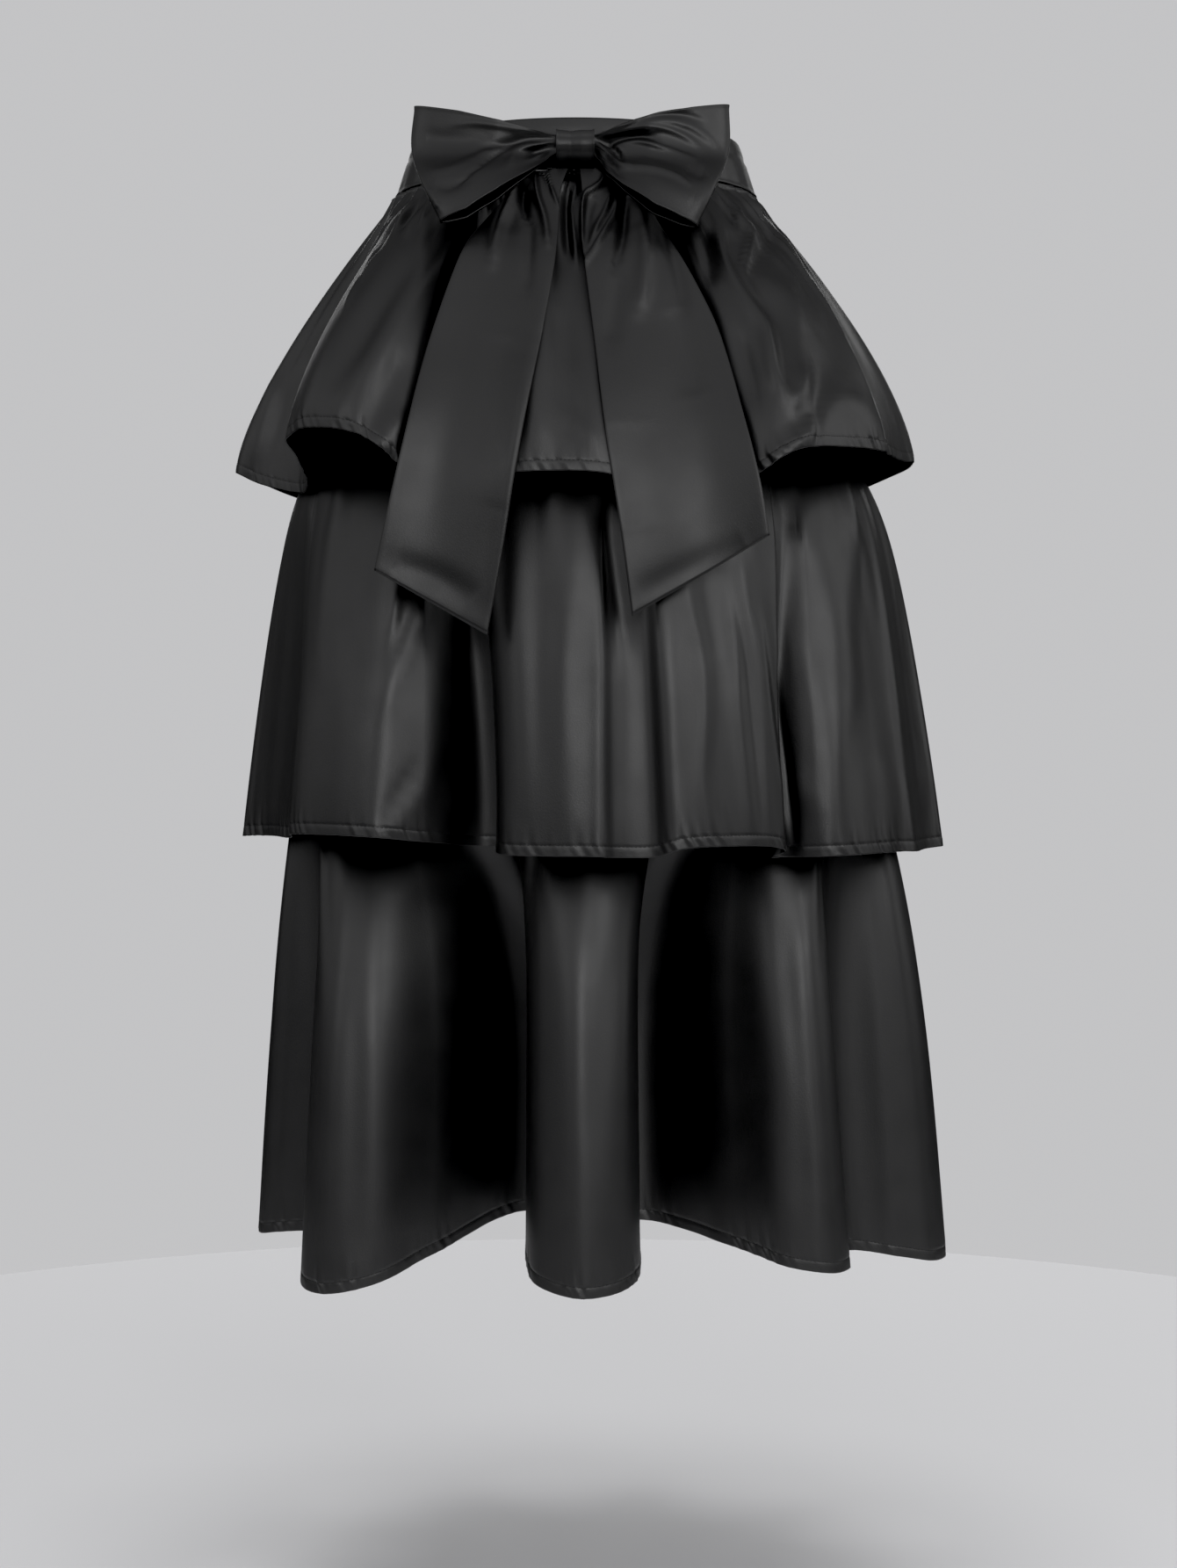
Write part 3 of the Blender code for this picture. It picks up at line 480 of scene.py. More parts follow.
def crease_heights(points, facing, creases):
    """How far each point is pushed out by a piece's creases, in metres."""
    places, mm_a_pixel = picture_points(points)
    raised = np.zeros(points.shape[:-1])
    for width, height, *corners in creases:
        line = smooth_line(corners, CREASE_PITCH)
        reach = CREASE_REACH * width / mm_a_pixel.min()
        near = ((places > line.min(axis=0) - reach) & (places < line.max(axis=0) + reach)).all(-1)
        if not near.any():
            continue
        gaps = np.linalg.norm(places[near][:, None] - line[None], axis=-1)
        share = gaps.argmin(axis=1) / (len(line) - 1)
        taper = np.sqrt(np.sin(np.pi * np.clip(share, CREASE_TIP, 1 - CREASE_TIP)))
        distance = gaps.min(axis=1) * mm_a_pixel[near]
        raised[near] += height * MM * taper * mound(distance, 0, width) * facing[near]
    return raised


# ---- Curves and sections ----


def direction(turn):
    """Unit vector out from the middle at an angle round the skirt."""
    return np.array((math.sin(turn), -math.cos(turn)))


def along(turn):
    """Unit vector round the skirt, towards larger angles."""
    return np.array((math.cos(turn), math.sin(turn)))


def ellipse(turns, half, middle_x):
    """Points of an ellipse, one for each angle."""
    return np.stack((middle_x + half[0] * np.sin(turns), -half[1] * np.cos(turns)), axis=-1)


def flank_points(fold, valley, valley_hem, side):
    """Flank and shoulder of a fold on one side, side -1 or +1, as x, y, z."""
    turn = math.radians(fold.turn)
    width = fold.left if side < 0 else fold.right
    depth = fold.reach - valley
    points = []
    for spread, sink in ((1.0, FLANK_SINK), (SHOULDER_SPREAD, SHOULDER_SINK)):
        place = direction(turn) * (fold.reach - sink * depth) + along(turn) * side * spread * width
        height = fold.hem + sink * (valley_hem - fold.hem)
        points.append((place[0], place[1], height))
    return points if side < 0 else points[::-1]


def hem_corners(folds):
    """The hem's corner points in order, and the numbers of those the seam's angles are given for.

    Those are each fold's left flank, its crest and its right flank.
    """
    corners, known = [], []
    for number, fold in enumerate(folds):
        before = folds[number - 1]
        known += [len(corners), len(corners) + 2, len(corners) + 4]
        corners += flank_points(fold, before.valley, before.valley_hem, -1)
        corners.append((*(direction(math.radians(fold.turn)) * fold.reach), fold.hem))
        corners += flank_points(fold, fold.valley, fold.valley_hem, +1)
        after = folds[(number + 1) % len(folds)]
        leave = np.array(corners[-1][:2])
        arrive = np.array(flank_points(after, fold.valley, fold.valley_hem, -1)[0][:2])
        for share in (0.5 + fold.lean - fold.floor / 2, 0.5 + fold.lean + fold.floor / 2):
            place = leave + share * (arrive - leave)
            corners.append((*(place / np.linalg.norm(place) * fold.valley), fold.valley_hem))
    return np.array(corners) * MM, known


def smooth_loop(corners):
    """A closed curve through all corners, with CURVE_STEPS points from each to the next."""
    count = len(corners)
    shares = np.arange(CURVE_STEPS)[:, None] / CURVE_STEPS
    curve = []
    for number in range(count):
        p0, p1, p2, p3 = (corners[(number + k) % count] for k in (-1, 0, 1, 2))
        t1, t2, t3 = (np.linalg.norm(b - a) ** 0.5 for a, b in ((p0, p1), (p1, p2), (p2, p3)))
        leave = t2 * ((p1 - p0) / t1 - (p2 - p0) / (t1 + t2) + (p2 - p1) / t2)
        arrive = t2 * ((p2 - p1) / t2 - (p3 - p1) / (t2 + t3) + (p3 - p2) / t3)
        curve.append(hermite(p1, p2, leave, arrive, shares))
    return np.concatenate(curve)


class Hem:
    """A tier's hem curve, and the angle on the seam above each place on it."""

    def __init__(self, folds):
        corners, known = hem_corners(folds)
        loop = smooth_loop(corners)
        steps = np.linalg.norm(np.roll(loop, -1, axis=0) - loop, axis=1)
        self.length = steps.sum()
        start = np.concatenate(([0.0], np.cumsum(steps)))
        self.places = np.concatenate((start[:-1] - self.length, start[:-1], start + self.length))
        self.points = np.concatenate((loop, loop, loop, loop[:1]))
        known_places = start[np.array(known) * CURVE_STEPS]
        known_turns = np.radians([fold.seam + side * fold.span / 2
                                  for fold in folds for side in (-1, 0, 1)])
        rounds = (-1, 0, 1)
        self.known_places = np.concatenate([known_places + k * self.length for k in rounds])
        self.known_turns = np.concatenate([known_turns + k * 2 * math.pi for k in rounds])

    def point(self, places):
        return np.stack([np.interp(places, self.places, self.points[:, k]) for k in range(3)], -1)

    def seam_turn(self, places):
        return np.interp(places, self.known_places, self.known_turns)

    def place_below(self, seam_turn):
        return np.interp(seam_turn, self.known_turns, self.known_places)


def outward_normals(grid):
    """Unit normals of a grid of rows from the top down, whose columns run towards larger angles."""
    normals = np.cross(np.gradient(grid, axis=0), np.gradient(grid, axis=1))
    return normals / np.maximum(np.linalg.norm(normals, axis=-1, keepdims=True), 1e-12)


def pushed_out(grid, distance):
    """A grid of points moved out along its normals, by a distance for each point."""
    return grid + distance[..., None] * outward_normals(grid)


# ---- Meshes ----


def piece_of(name, vertices, faces, material, uvs=None):
    """A new smooth piece of one material, with a place on the cloth's weave for each vertex."""
    mesh = bpy.data.meshes.new(name)
    mesh.from_pydata(vertices, [], faces)
    mesh.update()
    mesh.shade_smooth()
    mesh.materials.append(material)
    if uvs is not None:
        layer = mesh.uv_layers.new(name="Cloth")
        corner_vertices = np.empty(len(mesh.loops), dtype=np.int32)
        mesh.loops.foreach_get("vertex_index", corner_vertices)
        layer.data.foreach_set("uv", uvs[corner_vertices].astype(np.float32).ravel())
    piece = bpy.data.objects.new(name, mesh)
    bpy.context.scene.collection.objects.link(piece)
    return piece


def grid_faces(rows, columns, start=0, flip=False, closed=False):
    """Quads of a grid whose vertices are numbered row by row."""
    row = np.arange(rows - 1)[:, None]
    column = np.arange(columns if closed else columns - 1)[None]
    after = (column + 1) % columns
    quads = np.stack((row * columns + column, (row + 1) * columns + column,
                      (row + 1) * columns + after, row * columns + after), axis=-1)
    quads = quads.reshape(-1, 4) + start
    return quads[:, ::-1] if flip else quads


def shell(name, outer, thickness, material):
    """A closed thin wall of cloth behind a grid of points on its outer face."""
    rows, columns = outer.shape[:2]
    inner = pushed_out(outer, -thickness * np.ones((rows, columns)))
    count = rows * columns
    faces = [grid_faces(rows, columns), grid_faces(rows, columns, count, flip=True)]
    top, side = np.arange(columns), np.arange(rows) * columns
    for line, flip in ((top, False), (top + count - columns, True),
                       (side, True), (side + columns - 1, False)):
        strip = np.stack((line[:-1], line[1:], line[1:] + count, line[:-1] + count), axis=-1)
        faces.append(strip[:, ::-1] if flip else strip)
    vertices = np.concatenate((outer.reshape(-1, 3), inner.reshape(-1, 3)))
    uvs = np.tile(cloth_coordinates(outer).reshape(-1, 2), (2, 1))
    return piece_of(name, vertices, np.concatenate(faces).tolist(), material, uvs)


def cloth_coordinates(outer):
    """Metres along and down the cloth at each grid point, for the weave.

    The widths are those of a row two thirds of the way down.
    """
    across = np.linalg.norm(np.diff(outer, axis=1, prepend=outer[:, :1]), axis=-1).cumsum(axis=1)
    down = np.linalg.norm(np.diff(outer, axis=0, prepend=outer[:1]), axis=-1).cumsum(axis=0)
    return np.stack((np.broadcast_to(across[len(outer) * 2 // 3], down.shape), -down), axis=-1)


def stitches(name, line, outward, material):
    """A row of short stitches along a line of points, each lying on the cloth."""
    steps = np.linalg.norm(np.diff(line, axis=0), axis=1)
    place = np.concatenate(([0.0], steps.cumsum()))
    ends = [tuple(reversed(range(STITCH_SIDES))),
            tuple((len(STITCH_RINGS) - 1) * STITCH_SIDES + side for side in range(STITCH_SIDES))]
    walls = grid_faces(len(STITCH_RINGS), STITCH_SIDES, flip=True, closed=True).tolist()
    vertices, faces = [], []
    for start in np.arange(STITCH_PITCH, place[-1] - STITCH_PITCH, STITCH_PITCH):
        here = np.array([[np.interp(start + share * STITCH_LENGTH, place, line[:, k])
                          for k in range(3)] for share, _ in STITCH_RINGS])
        up = np.array([np.interp(start, place, outward[:, k]) for k in range(3)])
        ahead = here[-1] - here[0]
        aside = np.cross(ahead / np.linalg.norm(ahead), up)
        faces += [tuple(corner + len(vertices) for corner in face) for face in walls + ends]
        for middle, (_, size) in zip(here, STITCH_RINGS):
            radius = STITCH_THICK / 2 * size
            for angle in np.arange(STITCH_SIDES) * 2 * math.pi / STITCH_SIDES:
                vertices.append(middle + radius * (math.cos(angle) * up + math.sin(angle) * aside))
    return piece_of(name, np.array(vertices), faces, material)


# ---- Tiers ----


def bump(distance):
    """A rounded fold's cross-section: 1 in its middle and 0 from one half-width out."""
    return np.cos(np.clip(distance, -1, 1) * math.pi / 2) ** 2


def gather_of(ranges, place, room, depth, lengths, rng):
    """One gather near a place: its middle, half-width, depth, length and lean."""
    shift, width, size = (rng.uniform(*limits) for limits in ranges[:3])
    length = (rng.choice(lengths) if lengths else 1) * rng.uniform(*ranges.length)
    return place + shift * room, width * room, size * depth, length, rng.uniform(*ranges.lean)


def gather_folds(seam_length, count, depth, rng):
    """Uneven gathers along a seam, each wide one with a narrow one beside it."""
    edges = np.linspace(0, seam_length, count + 1)
    folds = []
    for low, high in zip(edges, edges[1:]):
        folds.append(gather_of(WIDE, (low + high) / 2, high - low, depth, WIDE_LENGTHS, rng))
        folds.append(gather_of(NARROW, low, high - low, depth, None, rng))
    return folds


def gather_heights(seam_place, below, folds):
    """How far the gathers push the cloth out at each place on the seam and distance below it."""
    raised = np.zeros((len(below), len(seam_place)))
    for middle, width, depth, length, lean in folds:
        centre = middle + lean * below[:, None]
        widened = width * (1 + GATHER_WIDENING * below[:, None])
        strength = (np.exp(-(below / length) ** GATHER_FADING)
                    * np.minimum(1, GATHER_AT_SEAM + below / GATHER_RISE))
        raised += depth * strength[:, None] * bump((seam_place[None] - centre) / widened)
    return raised


def waves(places, wavelengths, rng):
    """A smooth random line along places, between about -1 and 1, of waves that are not even."""
    total = np.zeros_like(places)
    for wavelength in wavelengths:
        turns = places / wavelength
        phase = rng.uniform(0, 2 * math.pi)
        total += np.sin(2 * math.pi * turns + phase + WAVE_WANDER * np.sin(turns))
    return total / len(wavelengths)


def row_shares(tier, lengths, count):
    """Share of the way down of each row and column: close rows at the seam, and the hem's rows."""
    main = tier.seam_share + (1 - tier.seam_share) * np.linspace(0, 1, count) ** ROW_CROWDING
    shares = [np.full_like(lengths, tier.seam_share * row / SEAM_ROWS) for row in range(SEAM_ROWS)]
    shares += [share * (1 - HEM_ROWS[0] / lengths) for share in main[:-1]]
    shares += [1 - distance / lengths for distance in HEM_ROWS]
    return np.array(shares)


def tier_grid(tier, start_turn, end_turn, gathers, columns, rows, seed):
    """Points of a tier's outer face, how far above the hem each lies, and places on the hem."""
    rng = np.random.default_rng(seed)
    hem = Hem(tier.folds)
    start, end = hem.place_below(np.array((start_turn, end_turn)))
    places = np.linspace(start - SIDE_OVERLAP, end + SIDE_OVERLAP, columns)
    turns = hem.seam_turn(places)
    hem_points = hem.point(places)
    seam = ellipse(turns, tier.seam_half, tier.seam_x)
    mean_hem = ellipse(turns, tier.hem_half, tier.hem_x)
    outward = ellipse(turns, (1.0, 1.0), 0.0)
    lengths = tier.seam_z - hem_points[:, 2]
    shares = row_shares(tier, lengths, rows)
    below = np.maximum(0, shares - tier.seam_share) / (1 - tier.seam_share)
    puff = (1 - (1 - below) ** PUFF_SPEED)[..., None]
    widened = (1 - (1 - below) ** tier.spread)[..., None]
    spread = np.array(tier.puff) * puff + (1 - np.array(tier.puff)) * widened
    formed = 1 - (1 - below) ** tier.forming
    plan = (seam[None] + spread * (mean_hem - seam)[None]
            + formed[..., None] * (hem_points[:, :2] - mean_hem)[None])
    height = tier.seam_z + shares * (hem_points[:, 2] - tier.seam_z)[None]
    seam_place = np.linalg.norm(np.diff(seam, axis=0, prepend=seam[:1]), axis=1).cumsum()
    folds = gather_folds(seam_place[-1], gathers, tier.gather_depth, rng)
    raised = gather_heights(seam_place, shares.mean(axis=1) * lengths.mean(), folds)
    plan = plan + (raised * end_ease(seam_place, GATHER_END_ZONE))[..., None] * outward[None]
    grid = np.concatenate((plan, height[..., None]), axis=-1)
    return grid, (1 - shares) * lengths[None], places


def end_ease(places, zone):
    """0 at both ends of a line of places and 1 from a zone's length in."""
    return np.clip(np.minimum(places - places[0], places[-1] - places) / zone, 0, 1)


def tuck(grid):
    """A grid with a seam allowance above its first row, hidden in the seam."""
    allowance = grid[0] - ALLOWANCE_DEPTH * outward_normals(grid)[0]
    allowance[:, 2] += ALLOWANCE_HEIGHT
    return np.concatenate((allowance[None], grid))


def turned_share(above_hem):
    """1 on the turned-up edge of a hem and 0 above it, with a short slope between."""
    return np.clip((HEM_DEPTH + HEM_EDGE_ABOVE - above_hem) / HEM_EDGE_SLOPE, 0, 1)


def hem_form(above_hem, places, seed):
    """How far the turned hem, its stitched groove and its puckers stand out from the cloth."""
    rng = np.random.default_rng(seed)
    along_hem = places + rng.uniform(0, 1)
    fine = waves(along_hem[None] + PUCKER_SLANT * above_hem, PUCKER_WAVES, rng)
    patch = np.clip(PATCH_MIDDLE + waves(along_hem, PATCH_WAVES, rng), PATCH_LEAST, 1)
    long_waves = np.exp(-above_hem / HEM_WAVE_FADING) * waves(along_hem, HEM_WAVES, rng)[None]
    return (HEM_BULGE * turned_share(above_hem)
            - STITCH_GROOVE * mound(above_hem, HEM_DEPTH, GROOVE_WIDTH)
            + PUCKER_DEPTH * mound(above_hem, PUCKER_MIDDLE, PUCKER_ZONE / 2) * fine * patch[None]
            + HEM_WAVE_HEIGHT * long_waves)


def hidden_creases(grid, places, seed):
    """Soft uneven ridges and troughs down the sides and the back, like those at the front."""
    rng = np.random.default_rng(seed)
    rows = np.linspace(0, 1, grid.shape[0])[:, None]
    raised = np.zeros(grid.shape[:2])
    for _ in range(int((places[-1] - places[0]) / HIDDEN_PITCH)):
        middle = rng.uniform(places[0], places[-1])
        lean = rng.uniform(-HIDDEN_LEAN, HIDDEN_LEAN)
        bend = rng.uniform(-HIDDEN_BEND, HIDDEN_BEND)
        width = rng.uniform(*HIDDEN_WIDTH)
        size = rng.choice((-1.0, 1.0)) * rng.uniform(*HIDDEN_HEIGHT) * MM
        low = rng.uniform(*HIDDEN_LOW)
        high = rng.uniform(*HIDDEN_HIGH)
        centre = middle + lean * (rows - 0.5) + bend * np.sin(2 * math.pi * rows)
        taper = np.sin(np.pi * np.clip((rows - low) / (high - low), 0, 1)) ** HIDDEN_TAPER
        raised += size * taper * mound(places[None], centre, width)
    return raised


def facing_front(grid):
    """1 where the cloth faces the picture's camera, falling to 0 where it turns away."""
    to_camera = np.array(CAMERA_PLACE) - grid
    to_camera /= np.linalg.norm(to_camera, axis=-1, keepdims=True)
    return np.clip((outward_normals(grid) * to_camera).sum(axis=-1) * FACING_RISE, 0, 1)


def add_tier_half(tier, number, half, start, end, cloth, thread):
    """One half of a tier with its hem's stitches. Gives back the points of its outer face."""
    name = f"{tier.name}_{half}"
    front = half == "front"
    seed = SEED_STEP * number + (1 if front else 2)
    columns, rows = (FRONT_COLUMNS, FRONT_ROWS) if front else (BACK_COLUMNS, BACK_ROWS)
    gathers = tier.front_gathers if front else tier.back_gathers
    grid, above_hem, places = tier_grid(tier, start, end, gathers, columns, rows, seed)
    raised = hidden_creases(grid, places, seed + CREASE_SEED)
    if front:
        facing = facing_front(grid)
        raised *= HIDDEN_AT_SIDES * (1 - facing)
        raised += crease_heights(grid, facing, CREASES[name])
    from_seam = grid[0, :, 2][None] - grid[..., 2]
    raised *= np.clip(from_seam / CREASES_START[number], 0, 1) * end_ease(places, CREASE_END_ZONE)
    grid = pushed_out(grid, raised)
    grid = tuck(pushed_out(grid, hem_form(above_hem, places, seed + HEM_SEED)))
    thickness = SATIN + HEM_LAYER * turned_share(above_hem)
    piece = shell(name + "_cloth", grid, np.concatenate((thickness[:1], thickness)), cloth)
    stitch_row = len(grid) - len(HEM_ROWS) + HEM_ROWS.index(HEM_DEPTH)
    outward = outward_normals(grid)[stitch_row]
    line = grid[stitch_row] + STITCH_RISE * outward
    seam = stitches(name + "_hem_stitches", line, outward, thread)
    finish_piece(seam)
    finish_cloth(piece, name)
    return grid


def finish_piece(piece):
    """Ties a piece to the one body."""
    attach(piece, "root")


def finish_cloth(piece, solid):
    """Ties a piece of cloth to the one body and hides its solid, whose place it takes."""
    finish_piece(piece)
    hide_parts(solid)


# ---- Waistband and underskirt ----

BAND_FRONT_COLUMNS, BAND_FRONT_ROWS = 260, 34
BAND_BACK_COLUMNS, BAND_BACK_ROWS = 484, 24
BAND_CLOTH, BAND_EDGE_CLOTH, BAND_EDGE_ZONE = 1.2 * MM, 0.6 * MM, 0.05
BAND_RADIUS = 0.125
# A soft fold along the front band, deepest where the band is slack, and a ridge at its lower edge
BAND_FOLD_AT, BAND_FOLD_WANDER, BAND_FOLD_WIDTH, BAND_FOLD_DEPTH = 0.30, 0.05, 0.09, 0.9 * MM
BAND_SLACK, BAND_SLACK_WAVES = 0.6, (0.045, 0.08, 0.13)
BAND_ROLL, BAND_RIPPLE, BAND_RIPPLE_WAVES = 0.5 * MM, 0.35 * MM, (0.021, 0.034)
BAND_RIDGE_AT, BAND_RIDGE_WIDTH, BAND_RIDGE_HEIGHT = 0.965, 0.03, 0.8 * MM
# The rows of stitching that hold the back band's elastic pinch its ruches
RUCHE_STITCHING, RUCHE_PINCH, RUCHE_PINCH_WIDTH = (0.2, 0.5, 0.8), 0.55, 0.035
RUCHE_SWAY, RUCHE_SWAY_SHIFT, RUCHE_SWAY_WAVES = 0.16, 7, (1.7, 2.9)
RUCHE_BLUNTNESS, RUCHE_RIPPLE, RUCHE_RIPPLE_WAVES = 0.8, 0.2 * MM, (0.31, 0.43)
# Two waves out of step make some ruches larger than others
RUCHE_EVENNESS, RUCHE_BEATS = 0.6, (2.1, 0.7)

UNDERSKIRT_COLUMNS, UNDERSKIRT_EDGE_ROWS, UNDERSKIRT_ROWS = 110, 3, 32
UNDERSKIRT_RADIUS, UNDERSKIRT_RIPPLE, UNDERSKIRT_WAVES = 0.17, 0.8 * MM, (0.07, 0.11, 0.19)
UNDERSKIRT_SEEDS = {"front": 5, "back": 4}


def band_half(share):
    """Half-sizes of the waistband's outer face, a share of the way down it."""
    return [top + share * (foot - top) for top, foot in zip(BAND_TOP_HALF, BAND_FOOT_HALF)]


def half_turns(start_turn, end_turn, columns):
    """Evenly spaced angles from one side seam to the other."""
    overlap = SIDE_OVERLAP / BAND_FOOT_HALF[1]
    return np.linspace(start_turn - overlap, end_turn + overlap, columns)


def band_grid(turns, share_rows, raised):
    """Points of the waistband's outer face."""
    rows = []
    for share, lift in zip(share_rows, raised):
        plan = ellipse(turns, band_half(share), 0.0)
        plan = plan + lift[:, None] * ellipse(turns, (1.0, 1.0), 0.0)
        rows.append(np.column_stack((plan, np.full(len(turns), BAND_HEIGHT * (0.5 - share)))))
    return np.array(rows)


def add_band_front(cloth):
    """The flat front of the band, with a soft fold along it."""
    turns = half_turns(-SIDE_SEAM, SIDE_SEAM, BAND_FRONT_COLUMNS)
    shares = np.linspace(0, 1, BAND_FRONT_ROWS)
    down = shares[:, None]
    rng = np.random.default_rng(BAND_FRONT_SEED)
    place = turns * BAND_RADIUS
    slack = waves(place, BAND_SLACK_WAVES, rng)[None]
    fold = mound(down, BAND_FOLD_AT + BAND_FOLD_WANDER * slack, BAND_FOLD_WIDTH)
    raised = (BAND_ROLL * np.sin(math.pi * down) ** 0.5
              - BAND_FOLD_DEPTH * fold * np.clip(BAND_SLACK * (1 + slack), 0, 1)
              + BAND_RIPPLE * waves(place, BAND_RIPPLE_WAVES, rng)[None] * down**2
              + BAND_RIDGE_HEIGHT * mound(down, BAND_RIDGE_AT, BAND_RIDGE_WIDTH))
    edge = np.minimum(1, np.minimum(down, 1 - down) / BAND_EDGE_ZONE)
    piece = shell("waistband_front_cloth", band_grid(turns, shares, raised),
                  BAND_CLOTH + BAND_EDGE_CLOTH * edge, cloth)
    finish_cloth(piece, "waistband_front")


def add_band_back(cloth):
    """The back of the band, ruched over elastic by rows of stitching."""
    turns = half_turns(SIDE_SEAM, 2 * math.pi - SIDE_SEAM, BAND_BACK_COLUMNS)
    shares = np.linspace(0, 1, BAND_BACK_ROWS)
    place = (turns - turns[0]) / (turns[-1] - turns[0]) * BAND_BACK_RUCHES
    beat = np.sin(place * RUCHE_BEATS[0] + 1) * np.sin(place * RUCHE_BEATS[1])
    size = RUCHE_EVENNESS + (1 - RUCHE_EVENNESS) * beat
    raised = np.zeros((len(shares), len(turns)))
    for row, share in enumerate(shares):
        sway = RUCHE_SWAY * waves(place + RUCHE_SWAY_SHIFT * share, RUCHE_SWAY_WAVES,
                                  np.random.default_rng(RUCHE_SWAY_SEED))
        ruche = np.abs(np.sin(math.pi * (place + sway))) ** RUCHE_BLUNTNESS
        pinch = 1 - RUCHE_PINCH * mound(share, np.array(RUCHE_STITCHING), RUCHE_PINCH_WIDTH).sum()
        raised[row] = RUCHE_DEPTH * ruche * size * pinch * (0.5 + 0.5 * math.sin(math.pi * share))
    rng = np.random.default_rng(BAND_BACK_SEED)
    raised += RUCHE_RIPPLE * waves(place, RUCHE_RIPPLE_WAVES, rng)[None]
    piece = shell("waistband_back_cloth", band_grid(turns, shares, raised), BAND_CLOTH, cloth)
    finish_cloth(piece, "waistband_back")


def add_underskirt_half(half, start, end, lining):
    """One half of the plain yoke that the second and third tiers are sewn to."""
    turns = half_turns(start, end, UNDERSKIRT_COLUMNS)
    top, edge, foot = UNDERSKIRT[0].z, UNDERSKIRT[1].z, UNDERSKIRT[-1].z
    heights, *fields = np.transpose(UNDERSKIRT[::-1])
    rows = []
    for z in (*np.linspace(top, edge, UNDERSKIRT_EDGE_ROWS)[:-1],
              *np.linspace(edge, foot, UNDERSKIRT_ROWS)):
        half_width, half_depth, middle_x = (np.interp(z, heights, field) for field in fields)
        rows.append(np.column_stack((ellipse(turns, (half_width, half_depth), middle_x),
                                     np.full(len(turns), z))))
    rng = np.random.default_rng(UNDERSKIRT_SEEDS[half])
    ripple = waves(turns * UNDERSKIRT_RADIUS, UNDERSKIRT_WAVES, rng)[None] * UNDERSKIRT_RIPPLE
    ease = np.sin(np.pi * np.linspace(0, 1, len(rows)))[:, None]
    grid = pushed_out(np.array(rows), -ripple * ease)
    piece = shell(f"underskirt_{half}_cloth", grid, LINING, lining)
    finish_cloth(piece, f"underskirt_{half}")


# ---- Bow ----

# The knot is rounder than its solid and leans forward at its top. Its creases have a place and a
# half-width, as shares of half the strip's width, and a height
KNOT_COLUMNS, KNOT_ROWS, KNOT_CLOTH = 96, 41, 1.1 * MM
KNOT_ROUNDNESS, KNOT_LEAN, KNOT_FACE_RISE = 1.0, 5.0 * MM, 4
KNOT_CREASES = ((0.35, 0.22, 0.35 * MM), (-0.25, 0.18, -0.4 * MM))
KNOT_RIPPLE, KNOT_RIPPLE_WAVES, KNOT_ROUND = 0.12 * MM, (0.011, 0.017), 0.09
KNOT_EDGE, KNOT_EDGE_WIDTH = 0.45 * MM, 0.07
KNOT_HOLLOW, KNOT_HOLLOW_AT, KNOT_HOLLOW_WIDTH = 0.7 * MM, 6.2 * MM, 2.2 * MM
# The wings close towards their lower edges, and their gathers are shallower than in the solids,
# because creases take their place
WING_STEPS, WING_ROWS = 140, 72
WING_CLOSING, WING_GATHERS, WING_GATHER_DEPTH = 0.7, 3.0, 0.8 * MM
WING_CLOTH, WING_EDGE_CLOTH, WING_EDGE_RIDGE, WING_EDGE_ZONE = 0.9 * MM, 0.5 * MM, 0.35 * MM, 0.018
# The tails hang further from the tier than in the solids, and puff out below the knot
TAIL_FINE_ROWS, TAIL_FINE_COLUMNS, TAIL_SMOOTHING = 150, 64, 160
TAIL_CLEARANCE, TAIL_LENGTH = 3.0 * MM, 0.33
PANEL_ROW_STEP, PANEL_COLUMN_STEP = 3, 6
TAIL_PUFF, TAIL_PUFF_REACH, TAIL_PUFF_START = 3.5 * MM, 0.2, 0.02
TAIL_CLOTH, TAIL_EDGE_THINNER = 1.5 * MM, 0.6 * MM
TAIL_EDGE_HOLLOW, TAIL_EDGE_ZONE = 0.35 * MM, 1.6 * MM


def smooth_through(shares, values):
    """A smooth curve through evenly spaced values, read at each share of the way."""
    values = np.asarray(values, dtype=float)
    place = np.clip(np.asarray(shares, dtype=float), 0, 1) * (len(values) - 1)
    span = np.minimum(place.astype(int), len(values) - 2)
    slopes = np.gradient(values)
    return hermite(values[span], values[span + 1], slopes[span], slopes[span + 1], place - span)


def knot_loop(count, bluntness):
    """Outline of the strip round the bow's middle, seen from the side, as y and z."""
    turns = np.linspace(0, 2 * math.pi, count, endpoint=False)
    y = -np.sign(np.cos(turns)) * np.abs(np.cos(turns)) ** bluntness * KNOT_SIZE[1] / 2
    z = np.sign(np.sin(turns)) * np.abs(np.sin(turns)) ** bluntness * KNOT_SIZE[2] / 2
    return y, z


def knot_seat():
    """Depth of the knot's middle when its back lies against the waistband."""
    y, z = knot_loop(KNOT_SOLID_POINTS, KNOT_BLUNTNESS)
    band_depths = [band_half(0.5 - height / BAND_HEIGHT)[1] for height in KNOT_Z + z]
    return -max(y + band_depths) - SEAM_GAP


KNOT_Y = knot_seat()


